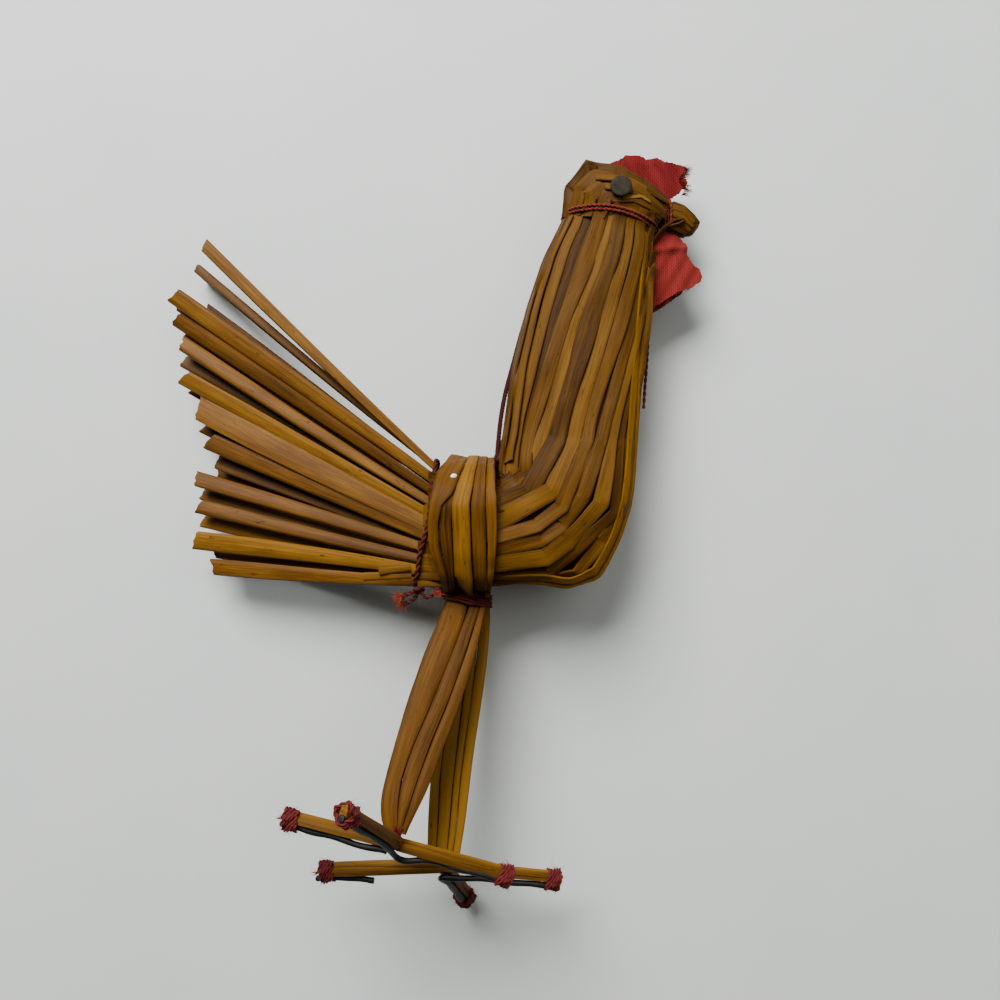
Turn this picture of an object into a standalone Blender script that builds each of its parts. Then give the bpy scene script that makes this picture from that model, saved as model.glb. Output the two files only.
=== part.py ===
"""A rooster made of straw, lying on its left side.

A sheaf of flattened straws is folded into the head, neck and body. Broad straws laid over the
back are tied below the belly and run on as the legs. Round hollow straws fan out as the tail.
The beak points along +X, the top of the head along +Y, and the bird's right side faces +Z.
All sizes are in millimetres. The origin lies on the floor, under the middle of the saddle.
The tables of places draw the bird's shape, which is then brought to BIRD_HEIGHT.
"""
import math

import bmesh
import bpy
from mathutils import Vector

MM = 0.001
COLLECTION = "straw_rooster"

# From the top of the comb to the tip of the lowest toe
BIRD_HEIGHT = 134.9

# Clearance between two neighbouring pieces
CLEARANCE = 0.3

# Sheaf of the head, neck and body
STRIPS_PER_SIDE = 7
STRIP_CROWN = 0.12
STRIP_GROOVE = 0.4
GROOVE_WIDTH = 0.12
SHEAF_ROUNDNESS = 2.6

# Body under the saddle
BODY_DEPTH = 0.1557 * BIRD_HEIGHT
BODY_THICKNESS = 0.1483 * BIRD_HEIGHT
BODY_TOP = 0.1045 * BIRD_HEIGHT
BODY_BOTTOM = BODY_TOP - BODY_DEPTH
BODY_ROUNDNESS = 3.0
TAIL_ROOT_X = -0.0489 * BIRD_HEIGHT
TAIL_ROOT_LEAN = 0.0141 * BIRD_HEIGHT
TAIL_ROOT_THICKNESS = 0.0697 * BIRD_HEIGHT
TAIL_TAPER_LENGTH = 2.0
TAIL_ROOT_INSET = 0.4

# Saddle straps and legs
STRAP_THICKNESS = 0.9
SADDLE_LEFT = -0.0452 * BIRD_HEIGHT
STRAP_SLACK = 0.25
SADDLE_STATIONS = 17
SADDLE_RIGHT = 0.0393 * BIRD_HEIGHT
SADDLE_NARROWING = 0.0126 * BIRD_HEIGHT
SADDLE_STRIPS = (0.0, 0.13, 0.25, 0.45, 0.75, 0.87, 1.0)
WAIST_WIDTH = 8.2
WAIST_HALF_THICKNESS = 3.0
WAIST_HALF_LENGTH = 1.6
WAIST_Y = BODY_BOTTOM - WAIST_HALF_LENGTH - 2 * CLEARANCE
WAIST_RELIEF = 0.4
ANGLE_AT_WAIST = 157.0
LEG_THICKNESS = 2.2
FLOOR_PRESS = 0.35

# Tail straws
STRAW_TIP_DIAMETER = 2.6
STRAW_ROOT_DIAMETER = 1.55
STRAW_WALL = 0.35
STRAW_RECESS = 3.0
STRAW_SIDES = 7
HOLE_NARROWING = 0.8
BINDING_LENGTH = 1.0
TAIL_ROOT_MARGIN = 0.5
TAIL_START_Y = BODY_TOP - TAIL_ROOT_MARGIN
TAIL_END_Y = BODY_BOTTOM + TAIL_ROOT_MARGIN
TAIL_LIFT = 0.1

# Feet
TOE_WIDTH = 2.7
TOE_SIDES = 8
TOE_ROOT_SHARE = 0.8
TOE_TIP_SHARE = 0.7
TOE_MIDDLES = ((0.35, 1.0), (0.75, 0.95))
OUTER_TOE_START = 2.2
WIRE_DIAMETER = 0.9
WIRE_SAG = 0.8
FRONT_WIRE_BEND = 5.0
BACK_WIRE_BEND = 9.0
BACK_WIRE_END = 3.8
TIE_DIAMETER = 1.2
TIE_FROM_TIP = 0.2
TIE_SLACK = 0.1

# Threads
THREAD_DIAMETER = 0.7
THREAD_SLACK = 0.15
BEAK_THREAD_SLACK = 0.3
YARN_DIAMETER = 0.9
YARN_PITCH = 1.3
YARN_SLACK = 1.0
YARN_LONG_END = (3.0, 2.2, 2.0)
YARN_SHORT_END = (0.2, 1.4, 1.4)
NAPE_CORD_DIAMETER = 1.0
NAPE_CORD_RISE = 1.0
WAIST_TURNS = 4
WAIST_GROOVE_SHARE = 0.55

# Cloth and eyes
CLOTH_THICKNESS = 1.0
WATTLE_RISE = 0.6
EYE_DIAMETER = 3.8
EYE_THICKNESS = 0.5
EYE_RIM_SHARE = 0.72
EYE_RISE = 6.0

BODY_AXIS_Z = STRAP_THICKNESS + STRAP_SLACK + CLEARANCE + BODY_THICKNESS / 2 - FLOOR_PRESS
HEAD_DROP = 0.0237 * BIRD_HEIGHT
HEAD_AXIS_Z = BODY_AXIS_Z - HEAD_DROP

# Sections of the sheaf, from the beak to the breast: belly side (x, y), back side (x, y),
# how far the middle lies below the middle of the body, and half thickness
SHEAF_SECTIONS = (
    ((41.7, 56.6), (42.1, 57.8), 3.2, 0.6),
    ((40.3, 55.1), (41.0, 59.2), 3.2, 1.4),
    ((38.6, 55.0), (39.2, 60.8), 3.2, 2.0),
    ((37.2, 55.5), (37.2, 61.5), 3.2, 2.1),
    ((35.9, 56.8), (35.9, 60.8), 3.2, 2.0),
    ((35.0, 56.6), (34.4, 62.0), 3.2, 3.4),
    ((34.7, 56.5), (31.4, 63.7), 3.2, 4.7),
    ((34.5, 56.4), (27.8, 65.4), 3.2, 5.6),
    ((34.4, 56.35), (24.2, 66.5), 3.2, 6.1),
    ((34.3, 56.3), (21.5, 66.9), 3.2, 6.4),
    ((34.2, 56.2), (19.2, 64.5), 3.2, 6.4),
    ((34.1, 56.1), (18.2, 61.0), 3.2, 6.3),
    ((33.6, 55.6), (18.3, 58.5), 3.3, 5.8),
    ((32.9, 49.6), (14.4, 50.6), 3.0, 6.9),
    ((32.2, 41.0), (11.5, 41.9), 2.4, 7.4),
    ((31.4, 31.1), (8.9, 31.1), 1.5, 8.0),
    ((30.4, 18.5), (7.2, 18.5), 0.8, 8.7),
    ((29.8, 11.4), (6.4, 14.6), 0.0, 9.2),
    ((29.2, 6.9), (6.0, 14.1), 0.0, 9.5),
    ((27.3, 0.9), (5.8, 13.8), 0.0, 9.6),
    ((24.5, -4.6), (5.6, 13.6), 0.0, 9.6),
    ((21.8, -6.5), (5.3, 13.5), 0.0, 9.6),
    ((13.8, -6.9), (4.9, 13.5), 0.0, 9.7),
)
# Places of the body's sections along x, on its belly side and on its back side
BODY_PLACES = ((7.0, 4.0), (0.0, 1.0))
BEAK_THREAD_SECTION = 4
HEAD_SECTIONS = (5, 12)
THREAD_SECTION = 12
NAPE_SECTIONS = (14, 17)

# Legs from the waist to the ankle: middle of the straws (x, y, z) and width
RIGHT_LEG = (
    ((-1.0, -13.0, 14.9), 7.6),
    ((-3.1, -19.4, 18.4), 8.3),
    ((-6.5, -31.5, 23.0), 8.4),
    ((-8.8, -37.2, 25.1), 7.3),
    ((-10.3, -41.5, 26.8), 6.2),
    ((-9.7, -44.9, 27.6), 4.8),
)
LEFT_LEG = (
    ((0.9, -13.4, 9.0), 7.6),
    ((0.3, -20.7, 10.5), 7.9),
    ((-1.2, -33.8, 13.2), 7.8),
    ((-2.1, -40.0, 14.6), 7.5),
    ((-2.9, -46.0, 15.9), 6.4),
    ((-3.5, -52.6, 16.7), 5.4),
)

# Feet: middle of the foot and the tips of its toes
FEET = {
    "right": {
        "middle": (-9.8, -47.6, 28.0),
        "front": (8.4, -53.4, 25.3),
        "back": (-29.0, -43.1, 27.0),
        "outer": (-16.9, -37.6, 43.0),
    },
    "left": {
        "middle": (-3.6, -54.6, 17.0),
        "front": (16.8, -57.4, 15.1),
        "back": (-25.0, -55.5, 16.2),
        "outer": (0.1, -65.2, 2.6),
    },
}

# Tips of the tail straws by layer, the lowest first: x, y and a share of the tip's width
TAIL_TIPS = (
    (
        (-48.3, 49.3, 0.9),
        (-48.2, 42.8, 1.0),
        (-49.5, 37.0, 1.0),
        (-49.0, 31.5, 1.0),
        (-48.0, 25.5, 1.0),
        (-46.5, 18.0, 1.0),
        (-46.0, 12.6, 1.0),
        (-46.5, 6.0, 1.0),
        (-46.0, 0.0, 1.0),
    ),
    (
        (-49.1, 50.2, 0.75),
        (-52.0, 43.4, 1.0),
        (-50.9, 38.2, 1.0),
        (-51.3, 33.3, 1.0),
        (-49.5, 28.2, 1.0),
        (-47.5, 21.4, 1.0),
        (-45.3, 14.8, 1.0),
        (-47.9, 9.2, 1.0),
        (-47.7, 4.3, 1.0),
        (-45.7, -1.4, 1.0),
    ),
    (
        (-46.8, 53.6, 1.0),
        (-52.3, 44.6, 1.0),
        (-51.8, 40.4, 1.0),
        (-50.8, 36.0, 1.0),
        (-50.5, 29.9, 1.0),
        (-47.8, 24.7, 1.25),
        (-46.0, 18.4, 1.0),
        (-48.2, 11.7, 1.0),
        (-47.7, 6.8, 1.0),
        (-48.4, 0.7, 1.15),
        (-45.3, -4.1, 1.0),
    ),
)

# Outlines of the cloth pieces
COMB_OUTLINE = (
    (25.8, 66.9), (26.4, 68.0), (28.1, 69.1), (30.3, 69.7), (32.3, 68.6), (33.4, 68.2),
    (35.0, 68.6), (37.1, 67.5), (38.9, 67.7), (39.6, 65.9), (39.3, 63.7), (37.9, 62.6),
    (35.6, 62.3), (31.6, 64.5), (28.0, 66.2),
)
WATTLE_OUTLINE = (
    (34.7, 54.7), (37.0, 54.6), (38.6, 53.9), (39.6, 53.0), (41.1, 50.6), (42.3, 47.5),
    (40.7, 46.1), (38.2, 45.0), (37.1, 43.4), (34.1, 41.6), (33.2, 40.7), (33.1, 44.5),
    (33.6, 49.6),
)
EYE_PLACE = (27.2, 62.0)
EYE_NORMAL = (-0.1, 0.2, 0.97)
STUB_ENDS = ((-10.3, -4.9, 16.2), (-17.3, -4.2, 15.4))
STUB_SIZE = (2.3, 1.0)

# How much larger the bird is than its tables draw it
DRAWN_TOP = max(y for x, y in COMB_OUTLINE)
DRAWN_BOTTOM = min(foot["outer"][1] for foot in FEET.values())
GROWTH = BIRD_HEIGHT / (DRAWN_TOP - DRAWN_BOTTOM)

STRAW_GOLD = (0.23, 0.10, 0.02, 1.0)
STRAW_TAIL = (0.26, 0.11, 0.018, 1.0)
STRAW_LEG = (0.26, 0.12, 0.02, 1.0)
CLOTH_RED = (0.22, 0.015, 0.012, 1.0)
THREAD_RED = (0.30, 0.03, 0.02, 1.0)
THREAD_DARK = (0.06, 0.008, 0.008, 1.0)
IRON_BLACK = (0.02, 0.018, 0.016, 1.0)
EYE_GREY = (0.03, 0.028, 0.025, 1.0)


def grown(place):
    """A drawn place or size, or a row of them, at the bird's own height."""
    if isinstance(place, tuple):
        return tuple(grown(item) for item in place)
    return place * GROWTH


def sheaf_sections():
    """The drawn sections at their real size, with the height of each middle over the floor."""
    sections = []
    for belly, back, drop, half in SHEAF_SECTIONS:
        sections.append((grown(belly), grown(back), BODY_AXIS_Z - grown(drop), grown(half)))
    return sections


def grown_leg(leg):
    """Middles of a leg's straws as grown places, with their widths."""
    return [(Vector(grown(place)), width) for place, width in leg]


def material(name, colour, roughness, metallic=0.0):
    made = bpy.data.materials.new(name)
    made.use_nodes = True
    shader = made.node_tree.nodes["Principled BSDF"]
    shader.inputs["Base Color"].default_value = colour
    shader.inputs["Roughness"].default_value = roughness
    shader.inputs["Metallic"].default_value = metallic
    made.diffuse_color = colour
    return made


def place(collection, name, data, finish):
    piece = bpy.data.objects.new(name, data)
    piece.data.materials.append(finish)
    collection.objects.link(piece)
    return piece


def box_middle(points):
    low = Vector([min(p[k] for p in points) for k in range(3)])
    high = Vector([max(p[k] for p in points) for k in range(3)])
    return (low + high) / 2


def loft(collection, name, rings, finish, sharp_degrees=35):
    """A closed skin over rings of equally many points, capped at both ends with a fan."""
    mesh = bpy.data.meshes.new(name)
    bm = bmesh.new()
    loops = [[bm.verts.new(Vector(point) * MM) for point in ring] for ring in rings]
    count = len(rings[0])
    for low, high in zip(loops, loops[1:]):
        for k in range(count):
            n = (k + 1) % count
            bm.faces.new((low[k], low[n], high[n], high[k]))
    for loop in (loops[0], loops[-1]):
        hub = bm.verts.new(box_middle([v.co for v in loop]))
        for k in range(count):
            bm.faces.new((loop[k], loop[(k + 1) % count], hub))
    bmesh.ops.recalc_face_normals(bm, faces=bm.faces[:])
    bm.to_mesh(mesh)
    bm.free()
    mesh.shade_smooth()
    mesh.set_sharp_from_angle(angle=math.radians(sharp_degrees))
    return place(collection, name, mesh, finish)


def tube(collection, name, points, diameter, finish, closed=False, resolution=1):
    curve = bpy.data.curves.new(name, "CURVE")
    curve.dimensions = "3D"
    curve.bevel_depth = diameter / 2 * MM
    curve.bevel_resolution = resolution
    curve.use_fill_caps = True
    spline = curve.splines.new("POLY")
    spline.points.add(len(points) - 1)
    for knot, point in zip(spline.points, points):
        knot.co = (*(Vector(point) * MM), 1.0)
    spline.use_cyclic_u = closed
    spline.use_smooth = True
    return place(collection, name, curve, finish)


def plate(collection, name, outline, height, thickness, finish):
    curve = bpy.data.curves.new(name, "CURVE")
    curve.dimensions = "2D"
    curve.fill_mode = "BOTH"
    curve.extrude = thickness / 2 * MM
    spline = curve.splines.new("POLY")
    spline.points.add(len(outline) - 1)
    for knot, point in zip(spline.points, outline):
        knot.co = (point[0] * MM, point[1] * MM, 0.0, 1.0)
    spline.use_cyclic_u = True
    piece = place(collection, name, curve, finish)
    piece.location.z = height * MM
    return piece


def plump(share, roundness):
    """Half thickness of an oval section at a share of its width, as a share of the largest."""
    return max(0.0, 1.0 - abs(2 * share - 1) ** roundness) ** (1 / roundness)


def smooth_path(points, steps):
    """Points of a smooth curve through the given ones, with steps stretches between two."""
    points = [Vector(p) for p in points]
    path = []
    for k in range(len(points) - 1):
        before = points[max(k - 1, 0)]
        start, end = points[k], points[k + 1]
        after = points[min(k + 2, len(points) - 1)]
        for step in range(steps):
            t = step / steps
            path.append(
                0.5 * (2 * start + (end - before) * t
                       + (2 * before - 5 * start + 4 * end - after) * t ** 2
                       + (3 * start - before - 3 * end + after) * t ** 3)
            )
    path.append(points[-1])
    return path


def strip_shares():
    """Shares of the width where a strip has its edges and crown, with its height offset."""
    shares = []
    for k in range(STRIPS_PER_SIDE):
        start, end = k / STRIPS_PER_SIDE, (k + 1) / STRIPS_PER_SIDE
        inset = GROOVE_WIDTH / STRIPS_PER_SIDE
        shares += [(start + inset, 0.0), ((start + end) / 2, STRIP_CROWN), (end - inset, 0.0)]
        if k < STRIPS_PER_SIDE - 1:
            shares.append((end, -STRIP_GROOVE))
    return shares


def sheaf_ring(belly, back, middle_z, half, roundness, relief=1.0):
    """One section of the sheaf, with the straws as ridges on its right and left sides."""
    belly, back = Vector(belly), Vector(back)
    relief *= 0.0 if half < 1.0 else min(1.0, half / 4.0)
    upper = []
    lower = []
    for share, lift in strip_shares():
        at = belly.lerp(back, share)
        rise = half * plump(share, roundness) + lift * relief
        upper.append((at.x, at.y, middle_z + rise))
        lower.append((at.x, at.y, max(middle_z - rise, 0.0)))
    first = (belly.x, belly.y, middle_z)
    last = (back.x, back.y, middle_z)
    return [first] + upper + [last] + lower[::-1]


def tail_root_x(y):
    """The slanted line where the sheaf ends and the tail straws begin."""
    share = (y - BODY_TOP + BODY_DEPTH) / BODY_DEPTH
    return TAIL_ROOT_X + TAIL_ROOT_LEAN * share * abs(share)


def make_sheaf(collection, finish):
    rings = []
    for belly, back, middle_z, half in sheaf_sections():
        rings.append(sheaf_ring(belly, back, middle_z, half, SHEAF_ROUNDNESS))
    half = BODY_THICKNESS / 2
    for belly_x, back_x in grown(BODY_PLACES):
        rings.append(sheaf_ring((belly_x, BODY_BOTTOM), (back_x, BODY_TOP), BODY_AXIS_Z, half,
                                BODY_ROUNDNESS))
    rings.append(sheaf_ring((TAIL_ROOT_X + TAIL_TAPER_LENGTH, BODY_BOTTOM),
                            (tail_root_x(BODY_TOP) + TAIL_TAPER_LENGTH, BODY_TOP),
                            BODY_AXIS_Z, half, BODY_ROUNDNESS))
    root = TAIL_ROOT_THICKNESS / 2
    low, high = BODY_BOTTOM + TAIL_ROOT_INSET, BODY_TOP - TAIL_ROOT_INSET
    rings.append(sheaf_ring((tail_root_x(low), low), (tail_root_x(high), high), BODY_AXIS_Z, root,
                            BODY_ROUNDNESS, relief=0.0))
    return loft(collection, "neck_head_and_body", rings, finish, 20)


def body_offset(degrees, offset):
    """A point outside the body's section, and its outward direction, at an angle from the back."""
    a, b = BODY_DEPTH / 2, BODY_THICKNESS / 2
    power = 2 / BODY_ROUNDNESS
    c, s = math.cos(math.radians(degrees)), math.sin(math.radians(degrees))
    y = a * math.copysign(abs(c) ** power, c)
    z = b * math.copysign(abs(s) ** power, s)
    slope_y = math.copysign(abs(y / a) ** (BODY_ROUNDNESS - 1), y) / a
    slope_z = math.copysign(abs(z / b) ** (BODY_ROUNDNESS - 1), z) / b
    out = Vector((0.0, slope_y, slope_z)).normalized()
    return Vector((0.0, BODY_TOP - a + y, BODY_AXIS_Z + z)) + out * offset


def strap_ring(middle, along, width, thickness, relief):
    """One section of the straps: ridged on the outer face, plain on the inner one."""
    out = Vector((1.0, 0.0, 0.0)).cross(along).normalized()
    side = along.cross(out).normalized()
    ring = []
    for low, high in zip(SADDLE_STRIPS, SADDLE_STRIPS[1:]):
        inset = GROOVE_WIDTH * (high - low)
        for share, lift in ((low + inset, 0.0), ((low + high) / 2, STRIP_CROWN), (high - inset, 0.0)):
            ring.append(middle + side * width * (share - 0.5) + out * (thickness / 2 + lift * relief))
        if high < 1.0:
            ring.append(middle + side * width * (high - 0.5)
                        + out * (thickness / 2 - STRIP_GROOVE * relief))
    for share in (1.0, 0.67, 0.33, 0.0):
        ring.append(middle + side * width * (share - 0.5) - out * thickness / 2)
    return [(p.x, p.y, max(p.z, 0.0)) for p in ring]


def saddle_angles():
    """Angles from the back that step evenly along the outside of the body's section."""
    fine = [ANGLE_AT_WAIST - k * ANGLE_AT_WAIST / 90 for k in range(181)]
    lengths = [0.0]
    for low, high in zip(fine, fine[1:]):
        lengths.append(lengths[-1] + (body_offset(high, 0.0) - body_offset(low, 0.0)).length)
    angles = []
    for k in range(SADDLE_STATIONS):
        wanted = lengths[-1] * k / (SADDLE_STATIONS - 1)
        nearest = min(range(len(fine)), key=lambda i: abs(lengths[i] - wanted))
        angles.append(fine[nearest])
    return angles


def make_saddle_and_legs(collection, finish):
    saddle_x = (SADDLE_LEFT + SADDLE_RIGHT) / 2
    saddle_width = SADDLE_RIGHT - SADDLE_LEFT
    middle = CLEARANCE + STRAP_SLACK + STRAP_THICKNESS / 2
    toward_back = Vector((0.0, 1.0, 0.0))
    right_leg = grown_leg(RIGHT_LEG)
    stations = [(at, width, LEG_THICKNESS, None) for at, width in reversed(right_leg)]
    waist = []
    for y in (WAIST_Y - WAIST_HALF_LENGTH, WAIST_Y + WAIST_HALF_LENGTH):
        waist.append((y, WAIST_WIDTH, WAIST_HALF_THICKNESS))
    rise = (WAIST_HALF_THICKNESS + CLEARANCE) / 2
    for y, width, thickness in waist:
        stations.append((Vector((0.0, y, BODY_AXIS_Z + rise)), width, thickness, toward_back))
    for degrees in saddle_angles():
        at = body_offset(degrees, middle)
        narrowing = SADDLE_NARROWING * max(0.0, math.cos(math.radians(degrees))) ** 2
        at.x = saddle_x + narrowing / 2
        stations.append((at, saddle_width - narrowing, STRAP_THICKNESS, None))
    for y, width, thickness in reversed(waist):
        stations.append((Vector((0.0, y, BODY_AXIS_Z - rise)), width, thickness, -toward_back))
    stations += [(at, width, LEG_THICKNESS, None) for at, width in grown_leg(LEFT_LEG)]
    rings = []
    for k, (at, width, thickness, along) in enumerate(stations):
        before = stations[max(k - 1, 0)][0]
        after = stations[min(k + 1, len(stations) - 1)][0]
        relief = WAIST_RELIEF if along else 1.0
        if k in (0, len(stations) - 1):
            relief = 0.0
        rings.append(strap_ring(at, along or (after - before).normalized(), width, thickness,
                                relief))
    return loft(collection, "saddle_and_legs", rings, finish, 20)


def straw_ring(middle, up, side, diameter):
    ring = []
    for k in range(STRAW_SIDES):
        turn = 2 * math.pi * (k + 0.5) / STRAW_SIDES
        ring.append(middle + (up * math.cos(turn) + side * math.sin(turn)) * diameter / 2)
    return ring


def make_straw(collection, name, root, tip, tip_diameter, finish):
    """A round straw, straight and pinched in the binding, with an open hollow end."""
    root, tip = Vector(root), Vector(tip)
    bend = root + Vector((-BINDING_LENGTH, 0.0, 0.0))
    along = (tip - bend).normalized()
    up = Vector((0.0, 0.0, 1.0))
    side = Vector((0.0, -1.0, 0.0))
    turned_up = (up - along * up.dot(along)).normalized()
    turned_side = turned_up.cross(along)
    deep = tip - along * STRAW_RECESS
    hole = tip_diameter - 2 * STRAW_WALL
    rings = [
        straw_ring(root, up, side, STRAW_ROOT_DIAMETER),
        straw_ring(bend, up, side, STRAW_ROOT_DIAMETER),
        straw_ring(tip, turned_up, turned_side, tip_diameter),
        straw_ring(tip, turned_up, turned_side, hole),
        straw_ring(deep, turned_up, turned_side, hole * HOLE_NARROWING),
    ]
    return loft(collection, name, rings, finish, 50)


def make_tail(collection, finish):
    rise = STRAW_ROOT_DIAMETER + 2 * CLEARANCE
    number = 0
    for layer, tips in enumerate(TAIL_TIPS):
        root_z = BODY_AXIS_Z + (layer - 1) * rise
        tip_z = STRAW_TIP_DIAMETER / 2 + TAIL_LIFT + layer * (STRAW_TIP_DIAMETER + 2 * CLEARANCE)
        pitch = (TAIL_START_Y - TAIL_END_Y) / (len(tips) - 1)
        for k, (x, y, share) in enumerate(tips):
            number += 1
            root_y = TAIL_START_Y - pitch * k
            root = (tail_root_x(root_y) - CLEARANCE, root_y, root_z)
            tip = (grown(x), grown(y), tip_z)
            make_straw(collection, f"tail_straw_{number:02d}", root, tip,
                       STRAW_TIP_DIAMETER * share, finish)


def make_stub(collection, finish):
    start, end = (Vector(p) for p in grown(STUB_ENDS))
    along = (end - start).normalized()
    side = along.cross(Vector((0.0, 0.0, 1.0))).normalized()
    up = side.cross(along)
    width, thickness = STUB_SIZE
    rings = []
    for at in (start, end):
        rings.append([at + side * width * a / 2 + up * thickness * b / 2
                      for a, b in ((-1, -1), (1, -1), (1, 1), (-1, 1))])
    return loft(collection, "straw_stub", rings, finish)


def make_foot(collection, side_name, finishes):
    straw, red, iron = finishes
    foot = {key: Vector(grown(value)) for key, value in FEET[side_name].items()}
    leg = grown_leg(RIGHT_LEG if side_name == "right" else LEFT_LEG)
    sole = (foot["middle"] - leg[-3][0]).normalized()
    drop = TOE_WIDTH / 2 + CLEARANCE + WIRE_DIAMETER / 2
    runs = {}
    for toe in ("front", "back", "outer"):
        along = foot[toe] - foot["middle"]
        length = along.length
        along.normalize()
        down = (sole - along * sole.dot(along)).normalized()
        side = along.cross(down)
        runs[toe] = (along, length, down, side)
        start = OUTER_TOE_START if toe == "outer" else CLEARANCE
        rings = []
        sizes = [(start, TOE_ROOT_SHARE)]
        sizes += [(length * share, size) for share, size in TOE_MIDDLES]
        sizes.append((length, TOE_TIP_SHARE))
        for distance, size in sizes:
            at = foot["middle"] + along * distance
            rings.append([at + (side * math.cos(2 * math.pi * k / TOE_SIDES)
                                + down * math.sin(2 * math.pi * k / TOE_SIDES))
                          * TOE_WIDTH / 2 * size for k in range(TOE_SIDES)])
        loft(collection, f"{side_name}_{toe}_toe", rings, straw, 50)
        tie_at = foot["middle"] + along * (length - TIE_DIAMETER / 2 - TIE_FROM_TIP)
        reach = TOE_WIDTH / 2 * TOE_TIP_SHARE + TIE_SLACK + CLEARANCE + TIE_DIAMETER / 2
        ring = []
        for k in range(12):
            turn = 2 * math.pi * k / 12
            ring.append(tie_at + (side * math.cos(turn) + down * math.sin(turn)) * reach)
        tube(collection, f"{side_name}_{toe}_toe_tie", ring, TIE_DIAMETER, red, closed=True)

    def under(toe, distance):
        along, length, down, side = runs[toe]
        return foot["middle"] + along * distance + down * drop

    low = foot["middle"] + sole * (drop + WIRE_SAG)
    short = TIE_FROM_TIP + TIE_DIAMETER + 2 * CLEARANCE + TIE_SLACK
    route = [under("outer", runs["outer"][1] - short), under("outer", FRONT_WIRE_BEND), low,
             under("front", FRONT_WIRE_BEND), under("front", runs["front"][1] - short)]
    tube(collection, f"{side_name}_front_wire", smooth_path(route, 3), WIRE_DIAMETER, iron)
    route = [under("back", runs["back"][1] - short), under("back", BACK_WIRE_BEND),
             under("back", BACK_WIRE_END)]
    tube(collection, f"{side_name}_back_wire", smooth_path(route, 3), WIRE_DIAMETER, iron)


def oval(middle, axis_a, axis_b, a, b, roundness, count):
    """Points round a superellipse spanned by two directions."""
    power = 2 / roundness
    points = []
    for k in range(count):
        turn = 2 * math.pi * (k + 0.5) / count
        c, s = math.cos(turn), math.sin(turn)
        points.append(middle + axis_a * a * math.copysign(abs(c) ** power, c)
                      + axis_b * b * math.copysign(abs(s) ** power, s))
    return points


def make_threads(collection, red, dark):
    up = Vector((0.0, 0.0, 1.0))
    out = CLEARANCE + THREAD_DIAMETER / 2
    belly, back, middle_z, half = sheaf_sections()[THREAD_SECTION]
    belly = Vector((*belly, middle_z))
    back = Vector((*back, middle_z))
    ring = oval((belly + back) / 2, (back - belly).normalized(), up,
                (back - belly).length / 2 + out + THREAD_SLACK,
                half + out + STRIP_CROWN + THREAD_SLACK,
                SHEAF_ROUNDNESS, 24)
    tube(collection, "head_thread", ring, THREAD_DIAMETER, red, closed=True)
    belly, back, middle_z, half = sheaf_sections()[BEAK_THREAD_SECTION]
    belly = Vector((*belly, middle_z))
    back = Vector((*back, middle_z))
    ring = oval((belly + back) / 2, (back - belly).normalized(), up,
                (back - belly).length / 2 + out + BEAK_THREAD_SLACK,
                half + out + BEAK_THREAD_SLACK, SHEAF_ROUNDNESS, 14)
    tube(collection, "beak_thread", ring, THREAD_DIAMETER, red, closed=True)
    make_waist_thread(collection, dark)
    make_tail_yarn(collection, red)
    cord = []
    for belly, back, middle_z, half in sheaf_sections()[slice(*NAPE_SECTIONS)]:
        outward = (Vector(back) - Vector(belly)).normalized()
        at = Vector(back) + outward * (CLEARANCE + NAPE_CORD_DIAMETER / 2 + THREAD_SLACK)
        cord.append((at.x, at.y, middle_z + NAPE_CORD_RISE))
    cord_end = BODY_TOP + CLEARANCE * 2 + STRAP_THICKNESS + NAPE_CORD_RISE
    cord[-1] = (cord[-1][0], cord_end, cord[-1][2])
    tube(collection, "nape_cord", smooth_path(cord, 3), NAPE_CORD_DIAMETER, dark)


def make_waist_thread(collection, finish):
    """Several turns of thread side by side, as one ribbed sleeve round the tied straws."""
    half_x = WAIST_WIDTH / 2 + 2 * CLEARANCE
    half_z = WAIST_HALF_THICKNESS + CLEARANCE / 2 + CLEARANCE + STRIP_CROWN
    pitch = THREAD_DIAMETER
    groove = THREAD_DIAMETER * WAIST_GROOVE_SHARE
    profile = [(0.0, -pitch * WAIST_TURNS / 2), (0.0, pitch * WAIST_TURNS / 2)]
    for k in range(WAIST_TURNS, 0, -1):
        top = pitch * (k - WAIST_TURNS / 2)
        profile += [(groove, top - 0.05), (THREAD_DIAMETER, top - pitch / 2)]
    profile.append((groove, -pitch * WAIST_TURNS / 2))
    middle = Vector((0.0, WAIST_Y, BODY_AXIS_Z))
    count = 20
    power = 2 / 6.0
    mesh = bpy.data.meshes.new("waist_thread")
    bm = bmesh.new()
    loops = []
    for k in range(count):
        turn = 2 * math.pi * (k + 0.5) / count
        c, s = math.cos(turn), math.sin(turn)
        loop = []
        for lift, along in profile:
            x = (half_x + lift) * math.copysign(abs(c) ** power, c)
            z = (half_z + lift) * math.copysign(abs(s) ** power, s)
            loop.append(bm.verts.new((middle + Vector((x, along, z))) * MM))
        loops.append(loop)
    size = len(profile)
    for k in range(count):
        this, that = loops[k], loops[(k + 1) % count]
        for j in range(size):
            n = (j + 1) % size
            bm.faces.new((this[j], this[n], that[n], that[j]))
    bmesh.ops.recalc_face_normals(bm, faces=bm.faces[:])
    bm.to_mesh(mesh)
    bm.free()
    mesh.shade_smooth()
    return place(collection, "waist_thread", mesh, finish)


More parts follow.
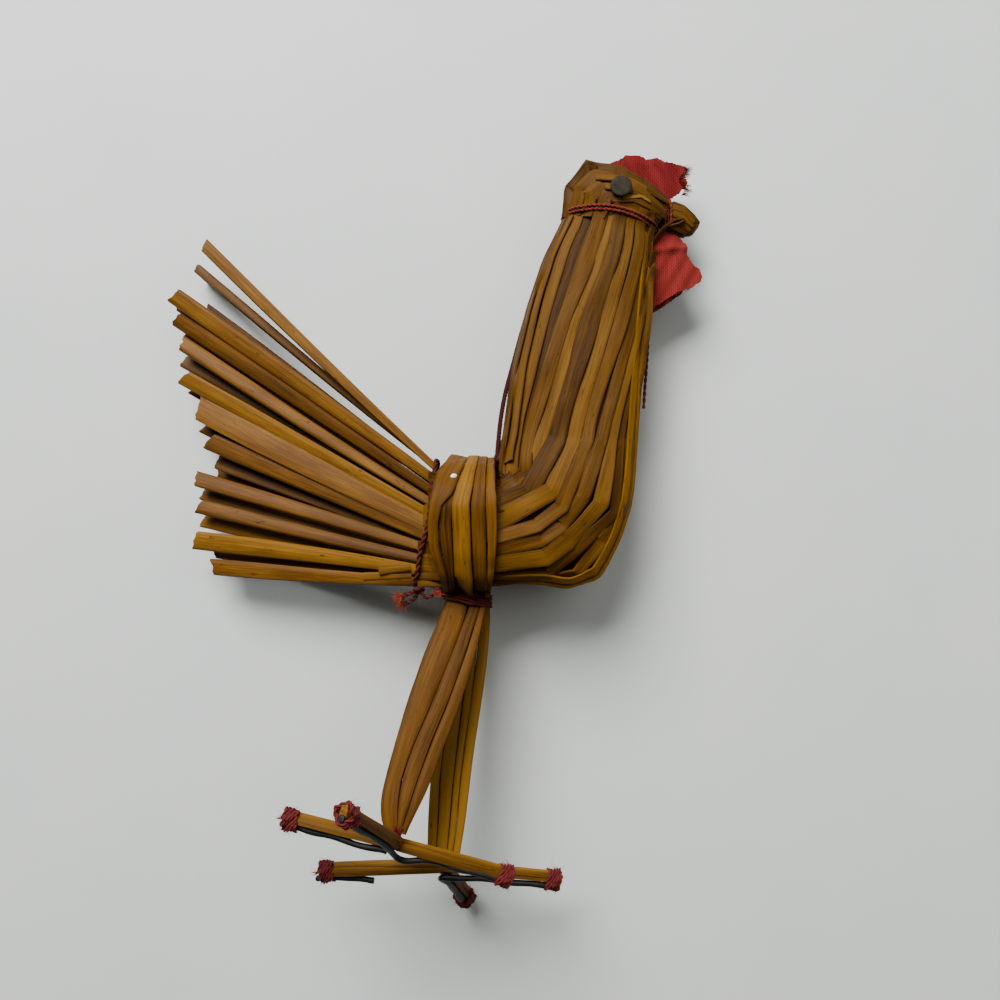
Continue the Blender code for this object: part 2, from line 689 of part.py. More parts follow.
def make_tail_yarn(collection, finish):
    """One turn of thick yarn round the tail root, its two ends hanging at the belly side."""
    out = CLEARANCE + YARN_DIAMETER / 2
    top = TAIL_START_Y + STRAW_ROOT_DIAMETER / 2
    bottom = TAIL_END_Y - STRAW_ROOT_DIAMETER / 2
    half_y = (top - bottom) / 2 + out + YARN_SLACK
    half_z = 1.5 * STRAW_ROOT_DIAMETER + 2 * CLEARANCE + out + BEAK_THREAD_SLACK
    middle_y = (top + bottom) / 2
    count = 22
    power = 2 / 5.0
    behind = CLEARANCE + YARN_DIAMETER / 2
    end_x = tail_root_x(bottom) - behind
    back, drop, rise = YARN_LONG_END
    path = [Vector((end_x - back, middle_y - half_y - drop, BODY_AXIS_Z + rise))]
    for k in range(count + 1):
        turn = -0.5 * math.pi + 2 * math.pi * k / count
        c, s = math.cos(turn), math.sin(turn)
        y = middle_y + half_y * math.copysign(abs(s) ** power, s)
        shift = YARN_PITCH * max(0.0, 1 - 4 * k / count)
        path.append(Vector((tail_root_x(y) - behind - shift, y,
                            BODY_AXIS_Z + half_z * math.copysign(abs(c) ** power, c))))
    back, drop, rise = YARN_SHORT_END
    path.append(Vector((end_x + back, middle_y - half_y - drop, BODY_AXIS_Z - rise)))
    return tube(collection, "tail_yarn", path, YARN_DIAMETER, finish)


def head_points():
    """Corners of the head's skin."""
    points = []
    for belly, back, middle_z, half in sheaf_sections()[slice(*HEAD_SECTIONS)]:
        ring = sheaf_ring(belly, back, middle_z, half, SHEAF_ROUNDNESS)
        points += [Vector(point) for point in ring]
    return points


def off_axis(point, start, direction):
    away = point - start
    return (away - direction * away.dot(direction)).length


def make_eyes(collection, finish):
    reach = EYE_DIAMETER / 2
    for name, sign in (("right_eye", 1), ("left_eye", -1)):
        normal = Vector((EYE_NORMAL[0], EYE_NORMAL[1], EYE_NORMAL[2] * sign)).normalized()
        mesh = bpy.data.meshes.new(name)
        bm = bmesh.new()
        bmesh.ops.create_cone(bm, cap_ends=True, segments=16, radius1=EYE_DIAMETER / 2 * MM,
                              radius2=EYE_DIAMETER / 2 * EYE_RIM_SHARE * MM, depth=EYE_THICKNESS * MM)
        bm.to_mesh(mesh)
        bm.free()
        piece = place(collection, name, mesh, finish)
        guess = Vector((*grown(EYE_PLACE), HEAD_AXIS_Z + sign * EYE_RISE))
        top = max(normal.dot(p) for p in head_points() if off_axis(p, guess, normal) < reach)
        at = guess + normal * (top + CLEARANCE + EYE_THICKNESS / 2 - normal.dot(guess))
        piece.location = at * MM
        piece.rotation_mode = "QUATERNION"
        piece.rotation_quaternion = normal.to_track_quat("Z", "Y")


def build():
    for item in list(bpy.data.objects):
        bpy.data.objects.remove(item, do_unlink=True)
    collection = bpy.data.collections.new(COLLECTION)
    bpy.context.scene.collection.children.link(collection)
    straw = material("sheaf_straw", STRAW_GOLD, 0.45)
    tail_straw = material("tail_straw", STRAW_TAIL, 0.4)
    leg_straw = material("leg_straw", STRAW_LEG, 0.45)
    cloth = material("red_cloth", CLOTH_RED, 0.9)
    red = material("red_thread", THREAD_RED, 0.8)
    dark = material("dark_thread", THREAD_DARK, 0.8)
    iron = material("black_iron", IRON_BLACK, 0.5, 0.8)
    grey = material("eye_disc", EYE_GREY, 0.5)
    make_sheaf(collection, straw)
    make_saddle_and_legs(collection, leg_straw)
    make_tail(collection, tail_straw)
    make_stub(collection, straw)
    for side_name in ("right", "left"):
        make_foot(collection, side_name, (leg_straw, red, iron))
    make_threads(collection, red, dark)
    make_eyes(collection, grey)
    plate(collection, "comb", grown(COMB_OUTLINE), HEAD_AXIS_Z, CLOTH_THICKNESS, cloth)
    plate(collection, "wattle", grown(WATTLE_OUTLINE), HEAD_AXIS_Z + WATTLE_RISE,
          CLOTH_THICKNESS, cloth)


build()
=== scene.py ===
import math
import random

import bmesh
import bpy
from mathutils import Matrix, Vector
from mathutils.bvhtree import BVHTree


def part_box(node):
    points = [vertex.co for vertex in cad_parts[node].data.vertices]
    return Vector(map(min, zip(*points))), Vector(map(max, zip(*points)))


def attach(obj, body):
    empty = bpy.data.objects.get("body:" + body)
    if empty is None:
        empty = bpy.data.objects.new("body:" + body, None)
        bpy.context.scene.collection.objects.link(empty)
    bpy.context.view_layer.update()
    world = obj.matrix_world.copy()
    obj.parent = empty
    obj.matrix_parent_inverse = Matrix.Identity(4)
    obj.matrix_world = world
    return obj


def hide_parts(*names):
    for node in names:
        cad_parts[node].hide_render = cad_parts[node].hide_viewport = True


# The looks of the straw rooster: separate straws laid over the model's solids, hollow tail straws,
# twisted thread, woven cloth and bent wire. Sizes are in millimetres in the frame of the model.
MM = 0.001
UP = Vector((0.0, 0.0, 1.0))
DOWN = -UP

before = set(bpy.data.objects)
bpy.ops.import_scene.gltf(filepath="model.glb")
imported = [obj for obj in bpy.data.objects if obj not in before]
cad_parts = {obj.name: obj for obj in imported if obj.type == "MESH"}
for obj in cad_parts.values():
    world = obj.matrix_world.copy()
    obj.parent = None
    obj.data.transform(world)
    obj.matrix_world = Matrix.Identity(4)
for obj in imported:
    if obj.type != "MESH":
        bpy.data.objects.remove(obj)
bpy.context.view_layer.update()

# Heights of the middle of the body and of the head over the floor
BODY_Z = 11.1
HEAD_Z = 7.9

# The least height over the floor
FLOOR_GAP = 0.02

# Flattened straws: thickness, step of the sections, reach of the side probes, steepest slope
STRAW_THICKNESS = 0.42
STEP = 1.0
PROBE = 0.75
STEEPEST = 0.8
# How far under the surface the inside of the sheaf lies, which is coloured darker as painted shade
INNER_DEPTH = 0.75
# Where the beak starts
BEAK_FROM = 34.0
# Heights from which straws are laid on the right side and on the left side
ABOVE = 40.0
BELOW = -20.0

# Straws of the neck on the right side, from the head thread to the fold: x, y and width
NECK_STRAWS = (
    ((18.0, 56.2, 1.3), (15.4, 51.5, 1.5), (11.8, 39.4, 2.0), (8.3, 24.7, 1.6), (7.3, 18.6, 1.5),
     (6.5, 11.7, 1.3)),
    ((19.3, 56.0, 1.8), (17.0, 51.0, 2.1), (13.7, 39.1, 1.8), (10.0, 24.3, 1.9), (8.8, 18.2, 2.1),
     (7.9, 11.8, 2.0)),
    ((23.3, 56.1, 2.4), (21.5, 50.6, 2.8), (17.2, 38.8, 2.2), (12.7, 24.1, 2.3),
     (11.1, 18.1, 2.1), (10.4, 12.6, 1.9)),
    ((25.1, 56.3, 1.3), (23.6, 50.6, 1.4), (19.4, 38.8, 1.7), (15.1, 24.1, 1.8),
     (13.1, 18.1, 2.0), (11.9, 13.3, 2.0)),
    ((26.9, 56.4, 2.1), (25.7, 50.6, 2.2), (21.7, 38.8, 2.9), (17.3, 24.0, 2.5),
     (15.8, 18.1, 2.7), (13.9, 10.9, 2.5)),
    ((28.7, 56.2, 1.7), (27.9, 50.8, 1.8), (24.5, 38.8, 2.0), (20.1, 24.0, 2.1),
     (18.7, 18.1, 2.2), (16.2, 9.8, 2.0)),
    ((30.6, 56.1, 1.7), (30.1, 50.9, 1.9), (27.0, 38.9, 2.2), (22.2, 24.0, 1.8),
     (20.9, 18.1, 2.0), (18.0, 7.5, 1.8)),
    ((32.1, 56.0, 1.2), (31.9, 51.2, 1.3), (29.2, 39.1, 1.7), (24.9, 24.1, 1.8),
     (23.3, 18.1, 2.0), (20.2, 7.4, 1.8)),
    ((32.6, 53.7, 0.9), (32.4, 48.0, 1.0), (30.6, 39.2, 1.3), (26.6, 24.1, 1.3),
     (25.3, 18.1, 1.4), (23.8, 9.6, 1.5)),
    ((32.7, 48.9, 0.9), (31.6, 37.7, 1.1), (28.0, 24.2, 1.1), (26.9, 18.1, 1.2), (26.0, 6.6, 1.5)),
    ((32.6, 46.3, 1.2), (32.0, 38.2, 1.4), (29.5, 24.3, 1.9), (28.6, 18.2, 2.1), (27.9, 7.1, 2.1)),
)
# How each of them goes on from the fold under the saddle: x, y and width
BODY_STRAWS = (
    ((6.6, 11.0, 1.2), (5.0, 10.6, 1.2)),
    ((7.6, 11.6, 1.4), (5.0, 10.0, 1.4)),
    ((8.6, 11.6, 1.8), (6.0, 10.2, 1.8)),
    ((8.7, 11.0, 1.9), (6.0, 8.9, 1.9)),
    ((10.9, 9.3, 2.6), (6.0, 7.3, 2.4)),
    ((15.0, 9.5, 2.4), (6.0, 4.6, 2.9)),
    ((16.5, 6.8, 1.9), (12.3, 3.6, 1.9), (6.0, 1.8, 1.7)),
    ((19.8, 8.2, 2.1), (16.5, 3.7, 2.2), (12.9, 1.4, 2.2), (6.0, -0.4, 2.1)),
    ((23.1, 7.3, 2.2), (17.5, 0.9, 2.4), (13.9, -1.7, 2.4), (6.0, -2.8, 2.3)),
    ((25.7, 5.7, 1.7), (14.4, -4.5, 1.8), (6.0, -4.7, 1.6)),
    ((27.8, 6.8, 2.3), (23.4, 0.6, 2.6), (19.2, -4.6, 1.8), (13.0, -5.6, 1.7), (6.0, -6.0, 1.6)),
)
# Lift over the model's surface and tint of each straw of the neck
NECK_LOOKS = ((0.05, -0.1), (0.15, 0.15), (0.3, 0.0), (0.1, 0.3), (0.3, -0.25), (0.12, 0.25), (0.35, 0.1),
              (0.15, -0.05), (0.3, 0.3), (0.0, -0.15), (0.02, 0.2))
# The first of them end under the folded straws of the body; past that they lie lower and are tinted darker as
# painted shade
UNDER_STRAWS = 4
# How much wider than read they are laid, so that they meet
NECK_WIDENING = 1.16
BODY_WIDENING = 1.34
# Where the body's straws run down to the tail binding, and its yarn's x at these heights y
ROOT_START = -3.6
ROOT_HALF = 4.4
YARN_LEVELS = (16.0, 14.0, 4.0, -1.0, -6.0, -9.0)
YARN_PLACES = (-4.9, -5.0, -6.2, -7.5, -7.9, -7.9)
# Straws seen in the gaps of the outer ones, nearer the middle of the sheaf; they are tinted darker as painted
# shade
DEEP_NECK_STRAWS = (
    ((21.0, 56.0, 1.6), (19.0, 50.7, 1.9), (15.1, 38.9, 1.5), (11.4, 24.2, 1.4),
     (10.2, 18.2, 1.4), (9.2, 12.3, 1.3)),
    ((26.0, 56.0, 1.6), (24.6, 50.7, 1.6), (20.6, 38.9, 1.5), (16.2, 24.2, 1.4),
     (14.4, 18.2, 1.4), (13.0, 12.3, 1.3)),
    ((29.6, 56.0, 1.6), (29.0, 50.7, 1.6), (25.8, 38.9, 1.5), (21.2, 24.2, 1.4),
     (19.8, 18.2, 1.4), (17.6, 9.5, 1.3)),
    ((31.4, 55.0, 1.4), (31.0, 50.0, 1.4), (28.0, 38.9, 1.5), (23.6, 24.2, 1.4),
     (22.2, 18.2, 1.4), (21.0, 8.5, 1.3)),
)

# Breast and belly line of the sheaf and its nape line: x, y, height of the middle, half thickness
BREAST_LINE = (
    (33.4, 54.6, 8.0, 6.2), (32.9, 49.6, 8.1, 6.9), (32.2, 41.0, 8.7, 7.4), (31.4, 31.1, 9.6, 8.0),
    (30.4, 18.5, 10.3, 8.7), (29.8, 11.4, BODY_Z, 9.2), (29.2, 6.9, BODY_Z, 9.5),
    (27.2, 1.3, BODY_Z, 9.6), (25.0, -2.9, BODY_Z, 9.6), (23.7, -5.6, BODY_Z, 9.6),
    (21.6, -6.6, BODY_Z, 9.6), (18.0, -6.9, BODY_Z, 9.6), (13.8, -6.9, BODY_Z, 9.7),
    (6.0, -6.9, BODY_Z, 9.8), (-4.0, -6.9, BODY_Z, 8.2), (-6.4, -6.7, BODY_Z, 4.6),
)
NAPE_LINE = (
    (18.3, 58.0, 7.8, 5.8), (14.4, 50.6, 8.1, 6.9), (11.5, 41.9, 8.7, 7.4), (8.9, 31.1, 9.6, 8.0),
    (7.2, 18.5, 10.3, 8.7), (6.4, 14.6, BODY_Z, 9.2),
)
CROWN_LINE = (
    (17.9, 60.0, HEAD_Z, 6.0), (19.0, 64.5, HEAD_Z, 6.4), (21.5, 66.9, HEAD_Z, 6.4),
    (24.2, 66.5, HEAD_Z, 6.1), (27.8, 65.4, HEAD_Z, 5.6), (31.4, 63.7, HEAD_Z, 4.7),
    (34.8, 61.9, HEAD_Z, 3.2),
)
# Where the breast straws stand off or lie lower: x, y, reach and rise
BREAST_CORNERS = ((17.8, -7.0, 2.6, 0.85), (23.6, -6.0, 1.6, 0.4), (5.0, -6.9, 6.0, -0.4))
# Number of straws along the breast and the nape, and over the crown
SIDE_STRAWS = 6
CROWN_STRAWS = 5

# Straws folded over the head, from the nape to the beak thread: x, y and width
HEAD_STRAWS = (
    ((18.1, 57.8, 2.2), (18.7, 62.8, 2.5), (21.7, 66.1, 2.7), (26.5, 65.3, 2.6),
     (31.0, 63.1, 2.4), (35.7, 60.5, 1.7)),
    ((19.4, 57.6, 2.4), (20.3, 62.2, 2.6), (22.8, 64.5, 2.7), (27.2, 63.8, 2.5), (35.6, 59.7, 1.7)),
    ((21.2, 57.4, 2.5), (21.9, 60.8, 2.6), (24.4, 62.9, 2.6), (29.2, 61.9, 2.4), (35.5, 58.9, 1.6)),
    ((23.4, 57.2, 2.5), (24.6, 60.6, 2.5), (29.6, 60.6, 2.4), (35.5, 58.0, 1.5)),
    ((26.0, 57.2, 2.3), (27.2, 59.3, 2.3), (30.6, 59.0, 2.2), (34.6, 57.8, 1.5)),
    ((28.8, 56.4, 2.1), (30.8, 57.6, 2.0), (33.2, 57.2, 1.4)),
)
# Straws of the beak: x, y and width
BEAK_STRAWS = (
    ((36.2, 59.9, 1.1), (38.6, 59.5, 1.2), (40.7, 57.4, 0.7)),
    ((36.2, 58.8, 1.2), (38.5, 58.3, 1.2), (40.5, 56.6, 0.7)),
    ((36.2, 57.7, 1.1), (38.3, 57.0, 1.1), (40.0, 55.9, 0.7)),
    ((36.2, 56.8, 1.0), (38.0, 56.0, 1.0), (39.4, 55.4, 0.6)),
)

# Straps of the saddle: each one's middle x and width at these heights y
SADDLE_LEVELS = (15.3, 12.5, 9.6, 7.4, 4.1, 0.1, -4.2, -6.0, -9.1)
SADDLE_STRAWS = (
    ((-0.9, -1.4, -2.0, -2.75, -3.1, -2.7, -2.3, -2.1, -2.0),
     (2.4, 2.0, 2.0, 2.0, 2.3, 1.8, 1.3, 1.1, 0.9), -0.30, -0.45),
    ((-0.7, -2.5, -3.3, -4.5, -5.0, -4.8, -3.6, -3.2, -3.0),
     (3.2, 4.0, 3.8, 2.3, 1.8, 1.6, 1.3, 1.1, 1.0), 0.25, -0.10),
    ((4.6, 4.65, 4.8, 4.75, 4.8, 4.8, 4.6, 4.4, 3.8),
     (1.3, 1.8, 1.9, 1.9, 1.8, 1.6, 1.2, 1.0, 0.9), 0.0, 0.05),
    ((3.2, 2.9, 2.75, 2.55, 2.6, 2.7, 2.85, 2.8, 2.4),
     (1.7, 1.8, 2.1, 2.35, 2.4, 2.4, 2.3, 2.3, 2.5), 0.10, -0.15),
    ((1.7, 0.8, 0.2, -0.3, -0.25, -0.15, 0.0, 0.05, 0.1),
     (1.9, 2.4, 2.8, 3.05, 3.15, 3.15, 3.1, 3.4, 3.8), 0.18, 0.30),
)
# The ridge across the saddle: its y, reach and rise
SADDLE_FOLD = (7.4, 4.6, 0.6)
# Place and size of the small bead on it, painted near white as a highlight
GLINT_BEAD_PLACE = (-1.6, 11.9)
GLINT_BEAD_SIZE = 0.42

# Legs: how high the middle lies at these places y, then the straws' x, y and width
RIGHT_LEG_LINE = ((-8.0, 12.7), (-10.7, 12.75), (-13.0, 14.9), (-19.4, 18.4), (-31.5, 23.0),
                  (-37.2, 25.1), (-41.5, 26.8), (-46.0, 27.8))
LEFT_LEG_LINE = ((-8.0, 9.5), (-10.7, 9.45), (-13.4, 9.0), (-20.7, 10.5), (-33.8, 13.2),
                 (-40.0, 14.6), (-46.0, 15.9), (-54.0, 16.8))
RIGHT_LEG_STRAWS = (
    ((-0.9, -8.6, 3.6), (-1.3, -10.4, 4.0), (-2.15, -12.7, 4.2), (-3.4, -15.9, 4.3), (-4.7, -19.1, 4.4),
     (-5.9, -22.2, 4.3), (-7.0, -25.3, 4.1), (-8.2, -28.4, 3.7), (-9.3, -31.5, 3.2),
     (-10.3, -34.5, 2.8), (-11.15, -37.4, 2.7), (-11.65, -40.4, 3.0), (-11.6, -43.3, 2.9),
     (-11.0, -45.6, 2.0)),
    ((2.4, -8.6, 1.7), (1.9, -10.4, 1.9), (1.05, -12.7, 2.0), (-0.05, -15.9, 2.15), (-1.2, -19.1, 2.3),
     (-2.4, -22.2, 2.4), (-3.6, -25.3, 2.45), (-4.95, -28.4, 2.5), (-6.3, -31.5, 2.6),
     (-7.45, -34.5, 2.7), (-8.45, -37.4, 2.5), (-9.15, -40.4, 2.0), (-9.75, -43.3, 1.3),
     (-10.1, -45.8, 1.0)),
    ((3.7, -8.6, 1.1), (3.3, -10.4, 1.2), (2.65, -12.7, 1.2), (1.85, -15.9, 1.4), (0.85, -19.1, 1.6),
     (-0.15, -22.2, 1.8), (-1.25, -25.3, 1.95), (-2.5, -28.4, 2.0), (-3.8, -31.5, 2.1),
     (-4.9, -34.5, 2.1), (-6.05, -37.4, 2.0), (-7.2, -40.4, 1.7), (-8.5, -43.3, 1.2),
     (-9.3, -45.6, 0.9)),
)
LEFT_LEG_STRAWS = (
    ((-2.3, -8.6, 1.6), (-2.2, -13.2, 1.8), (-2.6, -20.2, 1.8), (-3.4, -27.0, 1.9), (-4.3, -33.8, 1.8),
     (-5.0, -40.2, 1.7), (-5.3, -47.1, 1.7), (-5.5, -53.6, 1.5)),
    ((-0.4, -8.6, 1.9), (-0.3, -13.2, 2.1), (-0.6, -20.2, 2.2), (-1.4, -27.0, 2.2), (-2.3, -33.8, 2.3),
     (-3.0, -40.2, 2.3), (-3.4, -47.1, 2.1), (-3.9, -53.6, 1.8)),
    ((1.4, -8.6, 1.5), (1.5, -13.2, 1.5), (1.2, -20.2, 1.4), (0.4, -27.0, 1.4), (-0.5, -33.8, 1.3),
     (-1.25, -40.2, 1.2), (-1.8, -47.1, 1.1), (-2.6, -53.6, 1.0)),
    ((3.3, -8.6, 1.9), (3.45, -13.2, 1.9), (2.95, -20.2, 2.0), (2.0, -27.0, 1.9), (1.05, -33.8, 1.8),
     (0.2, -40.2, 1.7), (-0.5, -47.1, 1.4), (-1.5, -53.6, 1.3)),
)
# Half thickness of a leg, which is the thickness of its straws
LEG_HALF = 1.1

# Width and tint of the tail straws that show most, by their number
TAIL_LOOKS = {
    1: (1.5, -0.2), 2: (2.9, -0.45), 10: (1.7, -0.05), 11: (2.5, -0.1), 15: (3.0, -0.3),
    16: (2.6, -0.1), 17: (2.8, 0.05), 18: (2.9, 0.4), 19: (2.5, -0.1), 20: (2.3, 0.2),
    21: (3.1, 0.1), 22: (2.6, -0.15), 23: (2.7, 0.15), 24: (2.9, 0.35), 25: (4.8, 0.15),
    26: (3.1, -0.05), 27: (2.8, 0.0), 28: (2.6, -0.1), 29: (3.3, 0.5), 30: (3.0, 0.1),
}
TAIL_WIDTH = 2.7
TAIL_SECTION = 20

# Feet: middle of the foot and the tips of its toes, as in the model
FEET = {
    "right": {
        "middle": (-9.8, -47.6, 28.0),
        "front": (8.4, -53.4, 25.3),
        "back": (-29.0, -43.1, 27.0),
        "outer": (-16.9, -37.6, 43.0),
        "sole_from": (-8.8, -37.2, 25.1),
    },
    "left": {
        "middle": (-3.6, -54.6, 17.0),
        "front": (16.8, -57.4, 15.1),
        "back": (-25.0, -55.5, 16.2),
        "outer": (0.1, -65.2, 2.6),
        "sole_from": (-2.1, -40.0, 14.6),
    },
}
TOE_WIDTH = 2.7
# Where the straws of a toe start, along it from the middle of the foot
TOE_STARTS = {"outer": 1.6, "back": 0.1, "front": -0.7}
# Share of that width for each toe, and how far under it its wire lies
TOE_SHARES = {
    "right": {"front": 0.72, "back": 1.0, "outer": 0.86},
    "left": {"front": 0.9, "back": 1.16, "outer": 1.0},
}
WIRE_DROPS = {
    "right": {"front": 1.15, "back": 1.2, "outer": 1.2},
    "left": {"front": 1.5, "back": 1.45, "outer": 1.2},
}
WIRE_DIAMETER = 1.05
TIE_LENGTH = 3.0
TIE_TURNS = 5

# Thread, yarn and cloth
THREAD_DIAMETER = 0.5
YARN_DIAMETER = 0.85
# Radius of a ply as a share of the thread's diameter
PLY_RADIUS = 0.27
WEAVE_PITCH = 0.34
CLOTH_CELL = 0.16

# Half section of a flattened straw, over its right edge: share of half width, share of half thickness
STRAW_SECTION = ((1.0, 0.0), (0.97, 0.55), (0.88, 0.9), (0.6, 1.0), (0.2, 1.08), (-0.2, 1.08),
                 (-0.6, 1.0), (-0.88, 0.9), (-0.97, 0.55), (-1.0, 0.0), (-0.9, -0.8),
                 (-0.3, -1.0), (0.3, -1.0), (0.9, -0.8))

# Nape cord and breast thread
NAPE_CORD = (
    (12.2, 45.0, 8.6), (10.2, 38.4, 9.0), (8.5, 32.1, 9.6), (7.1, 26.8, 10.0), (6.3, 22.3, 10.4),
    (5.9, 18.6, 10.8), (5.7, 16.2, 11.0), (5.9, 13.8, 11.2),
)
BREAST_THREAD = ((33.0, 41.5, 11.0), (32.7, 36.0, 11.4), (32.4, 30.7, 11.8), (31.8, 24.0, 12.2))

# Outlines of the comb, the wattle and the edge turned in under it: x and y
COMB_OUTLINE = (
    (24.8, 66.4), (26.0, 68.2), (28.6, 69.4), (31.1, 69.6), (32.4, 69.1), (33.8, 69.2), (35.6, 68.4),
    (37.4, 68.1), (39.4, 67.6), (39.0, 66.2), (39.6, 64.5), (38.2, 63.0), (36.5, 61.7), (35.0, 61.5),
    (32.2, 63.3), (30.0, 64.9), (27.5, 65.9),
)
WATTLE_OUTLINE = (
    (33.0, 55.4), (36.0, 55.8), (38.0, 54.9), (39.4, 53.2), (39.6, 51.5), (40.8, 49.6), (41.6, 49.2),
    (42.0, 47.6), (41.6, 46.6), (40.2, 45.7), (37.8, 44.8), (36.2, 43.9), (33.7, 42.2), (32.0, 40.9),
    (32.2, 44.0), (32.7, 48.3), (33.0, 52.6),
)
UNDER_OUTLINE = (
    (32.3, 46.5), (37.8, 46.0), (38.6, 44.9), (37.5, 44.0), (35.6, 42.6), (33.7, 41.4), (32.0, 40.6),
    (31.8, 43.0),
)

# Stage: the camera's place in metres, its rise over the middle of the bird and half its view there
CAMERA_PLACE = (0.00616, 0.00792, 0.2015)
CAMERA_RISE = 0.190
VIEW_HALF = 0.088
FLOOR_HALF = 1.2
SKY = (0.95, 0.98, 1.0, 1.0)
SKY_STRENGTH = 0.08
LAMPS = (
    ("window", (-0.24, 0.55, 0.56), 0.46, 18.6),
    ("fill", (0.45, 0.3, 0.6), 0.7, 2.4),
)


def rgb(red, green, blue):
    """A scene colour from the 0 to 255 values that a screen shows."""
    return tuple(((c / 255 + 0.055) / 1.055) ** 2.4 if c > 10 else c / 255 / 12.92
                 for c in (red, green, blue)) + (1.0,)


class Tree:
    """Short names for adding and linking the nodes of one material."""

    def __init__(self, name):
        self.material = bpy.data.materials.new(name)
        self.material.use_nodes = True
        self.nodes = self.material.node_tree.nodes
        self.links = self.material.node_tree.links
        self.shader = self.nodes["Principled BSDF"]

    def add(self, kind, **settings):
        node = self.nodes.new("ShaderNode" + kind)
        for key, value in settings.items():
            setattr(node, key, value)
        return node

    def join(self, source, target):
        self.links.new(source, target)

    def feed(self, node, name, value):
        if isinstance(value, bpy.types.NodeSocket):
            self.join(value, node.inputs[name])
        else:
            node.inputs[name].default_value = value

    def math(self, operation, first, second=0.0, third=0.0):
        node = self.add("Math", operation=operation)
        for slot, value in enumerate((first, second, third)):
            self.feed(node, slot, value)
        return node.outputs[0]

    def value(self, name):
        return self.add("Attribute", attribute_name=name).outputs["Fac"]

    def stretched(self, across, along, seed=0.0):
        """The straw's own coordinates, scaled across and along it."""
        uv = self.add("UVMap", uv_map="straw").outputs[0]
        scale = self.add("Mapping")
        self.join(uv, scale.inputs["Vector"])
        scale.inputs["Scale"].default_value = (across, along, 1.0)
        scale.inputs["Location"].default_value = (seed, seed * 0.7, seed * 1.3)
        return scale.outputs[0]

    def noise(self, vector, detail=2.0, rough=0.5):
        node = self.add("TexNoise")
        self.join(vector, node.inputs["Vector"])
        node.inputs["Scale"].default_value = 1.0
        node.inputs["Detail"].default_value = detail
        node.inputs["Roughness"].default_value = rough
        return node.outputs["Fac"]

    def ramp(self, value, *stops):
        node = self.add("ValToRGB")
        self.join(value, node.inputs[0])
        places = node.color_ramp.elements
        while len(places) < len(stops):
            places.new(0.5)
        for place, (position, colour) in zip(places, stops):
            place.position = position
            place.color = colour
        return node.outputs[0]

    def mix(self, share, first, second):
        node = self.add("Mix", data_type="RGBA")
        self.feed(node, 0, share)
        self.feed(node, 6, first)
        self.feed(node, 7, second)
        return node.outputs[2]

    def bump(self, height, distance):
        node = self.add("Bump")
        node.inputs["Strength"].default_value = 1.0
        node.inputs["Distance"].default_value = distance * MM
        self.join(height, node.inputs["Height"])
        self.join(node.outputs[0], self.shader.inputs["Normal"])


def straw_material(name, dark, middle, light, roughness=0.48, shine=0.05):
    """Golden straw: long fibres, soft streaks, browner edges and a tint of its own for each straw."""
    tree = Tree(name)
    fibre = tree.noise(tree.stretched(11.0, 0.22), 3.0, 0.6)
    streak = tree.noise(tree.stretched(2.6, 0.05, 3.0), 2.0)
    patch = tree.noise(tree.stretched(0.7, 0.09, 9.0), 2.0)
    shade = tree.value("shade")
    tone = tree.math("MULTIPLY_ADD", fibre, 0.42, tree.math("MULTIPLY", streak, 0.35))
    tone = tree.math("ADD", tone, tree.math("MULTIPLY_ADD", patch, 0.34, -0.06))
    tone = tree.math("ADD", tone, tree.math("MULTIPLY", shade, 0.42))
    colour = tree.ramp(tone, (0.22, dark), (0.52, middle), (0.85, light))
    rim = tree.math("POWER", tree.value("rim"), 5.0)
    colour = tree.mix(tree.math("MULTIPLY", rim, 0.55), colour, dark)
    fleck = tree.noise(tree.stretched(2.4, 0.55, 21.0), 1.0)
    fleck = tree.math("MULTIPLY", tree.math("SUBTRACT", fleck, 0.70), 9.0)
    fleck = tree.math("MINIMUM", tree.math("MAXIMUM", fleck, 0.0), 0.6)
    colour = tree.mix(fleck, colour, dark)
    tree.join(colour, tree.shader.inputs["Base Color"])
    tree.join(tree.math("MULTIPLY_ADD", fibre, 0.22, roughness - 0.1), tree.shader.inputs["Roughness"])
    tree.shader.inputs["Specular IOR Level"].default_value = shine
    tree.bump(tree.math("MULTIPLY_ADD", fibre, 0.7, tree.math("MULTIPLY", streak, 0.6)), 0.07)
    return tree.material


def thread_material(name, dark, light):
    """Spun fibre: fine lines along the plies and a soft dusty sheen."""
    tree = Tree(name)
    fibre = tree.noise(tree.stretched(9.0, 1.6), 3.0, 0.6)
    tone = tree.math("MULTIPLY_ADD", tree.value("shade"), 0.5, fibre)
    tree.join(tree.ramp(tone, (0.35, dark), (0.85, light)), tree.shader.inputs["Base Color"])
    tree.shader.inputs["Roughness"].default_value = 0.8
    tree.shader.inputs["Specular IOR Level"].default_value = 0.2
    tree.bump(fibre, 0.06)
    return tree.material


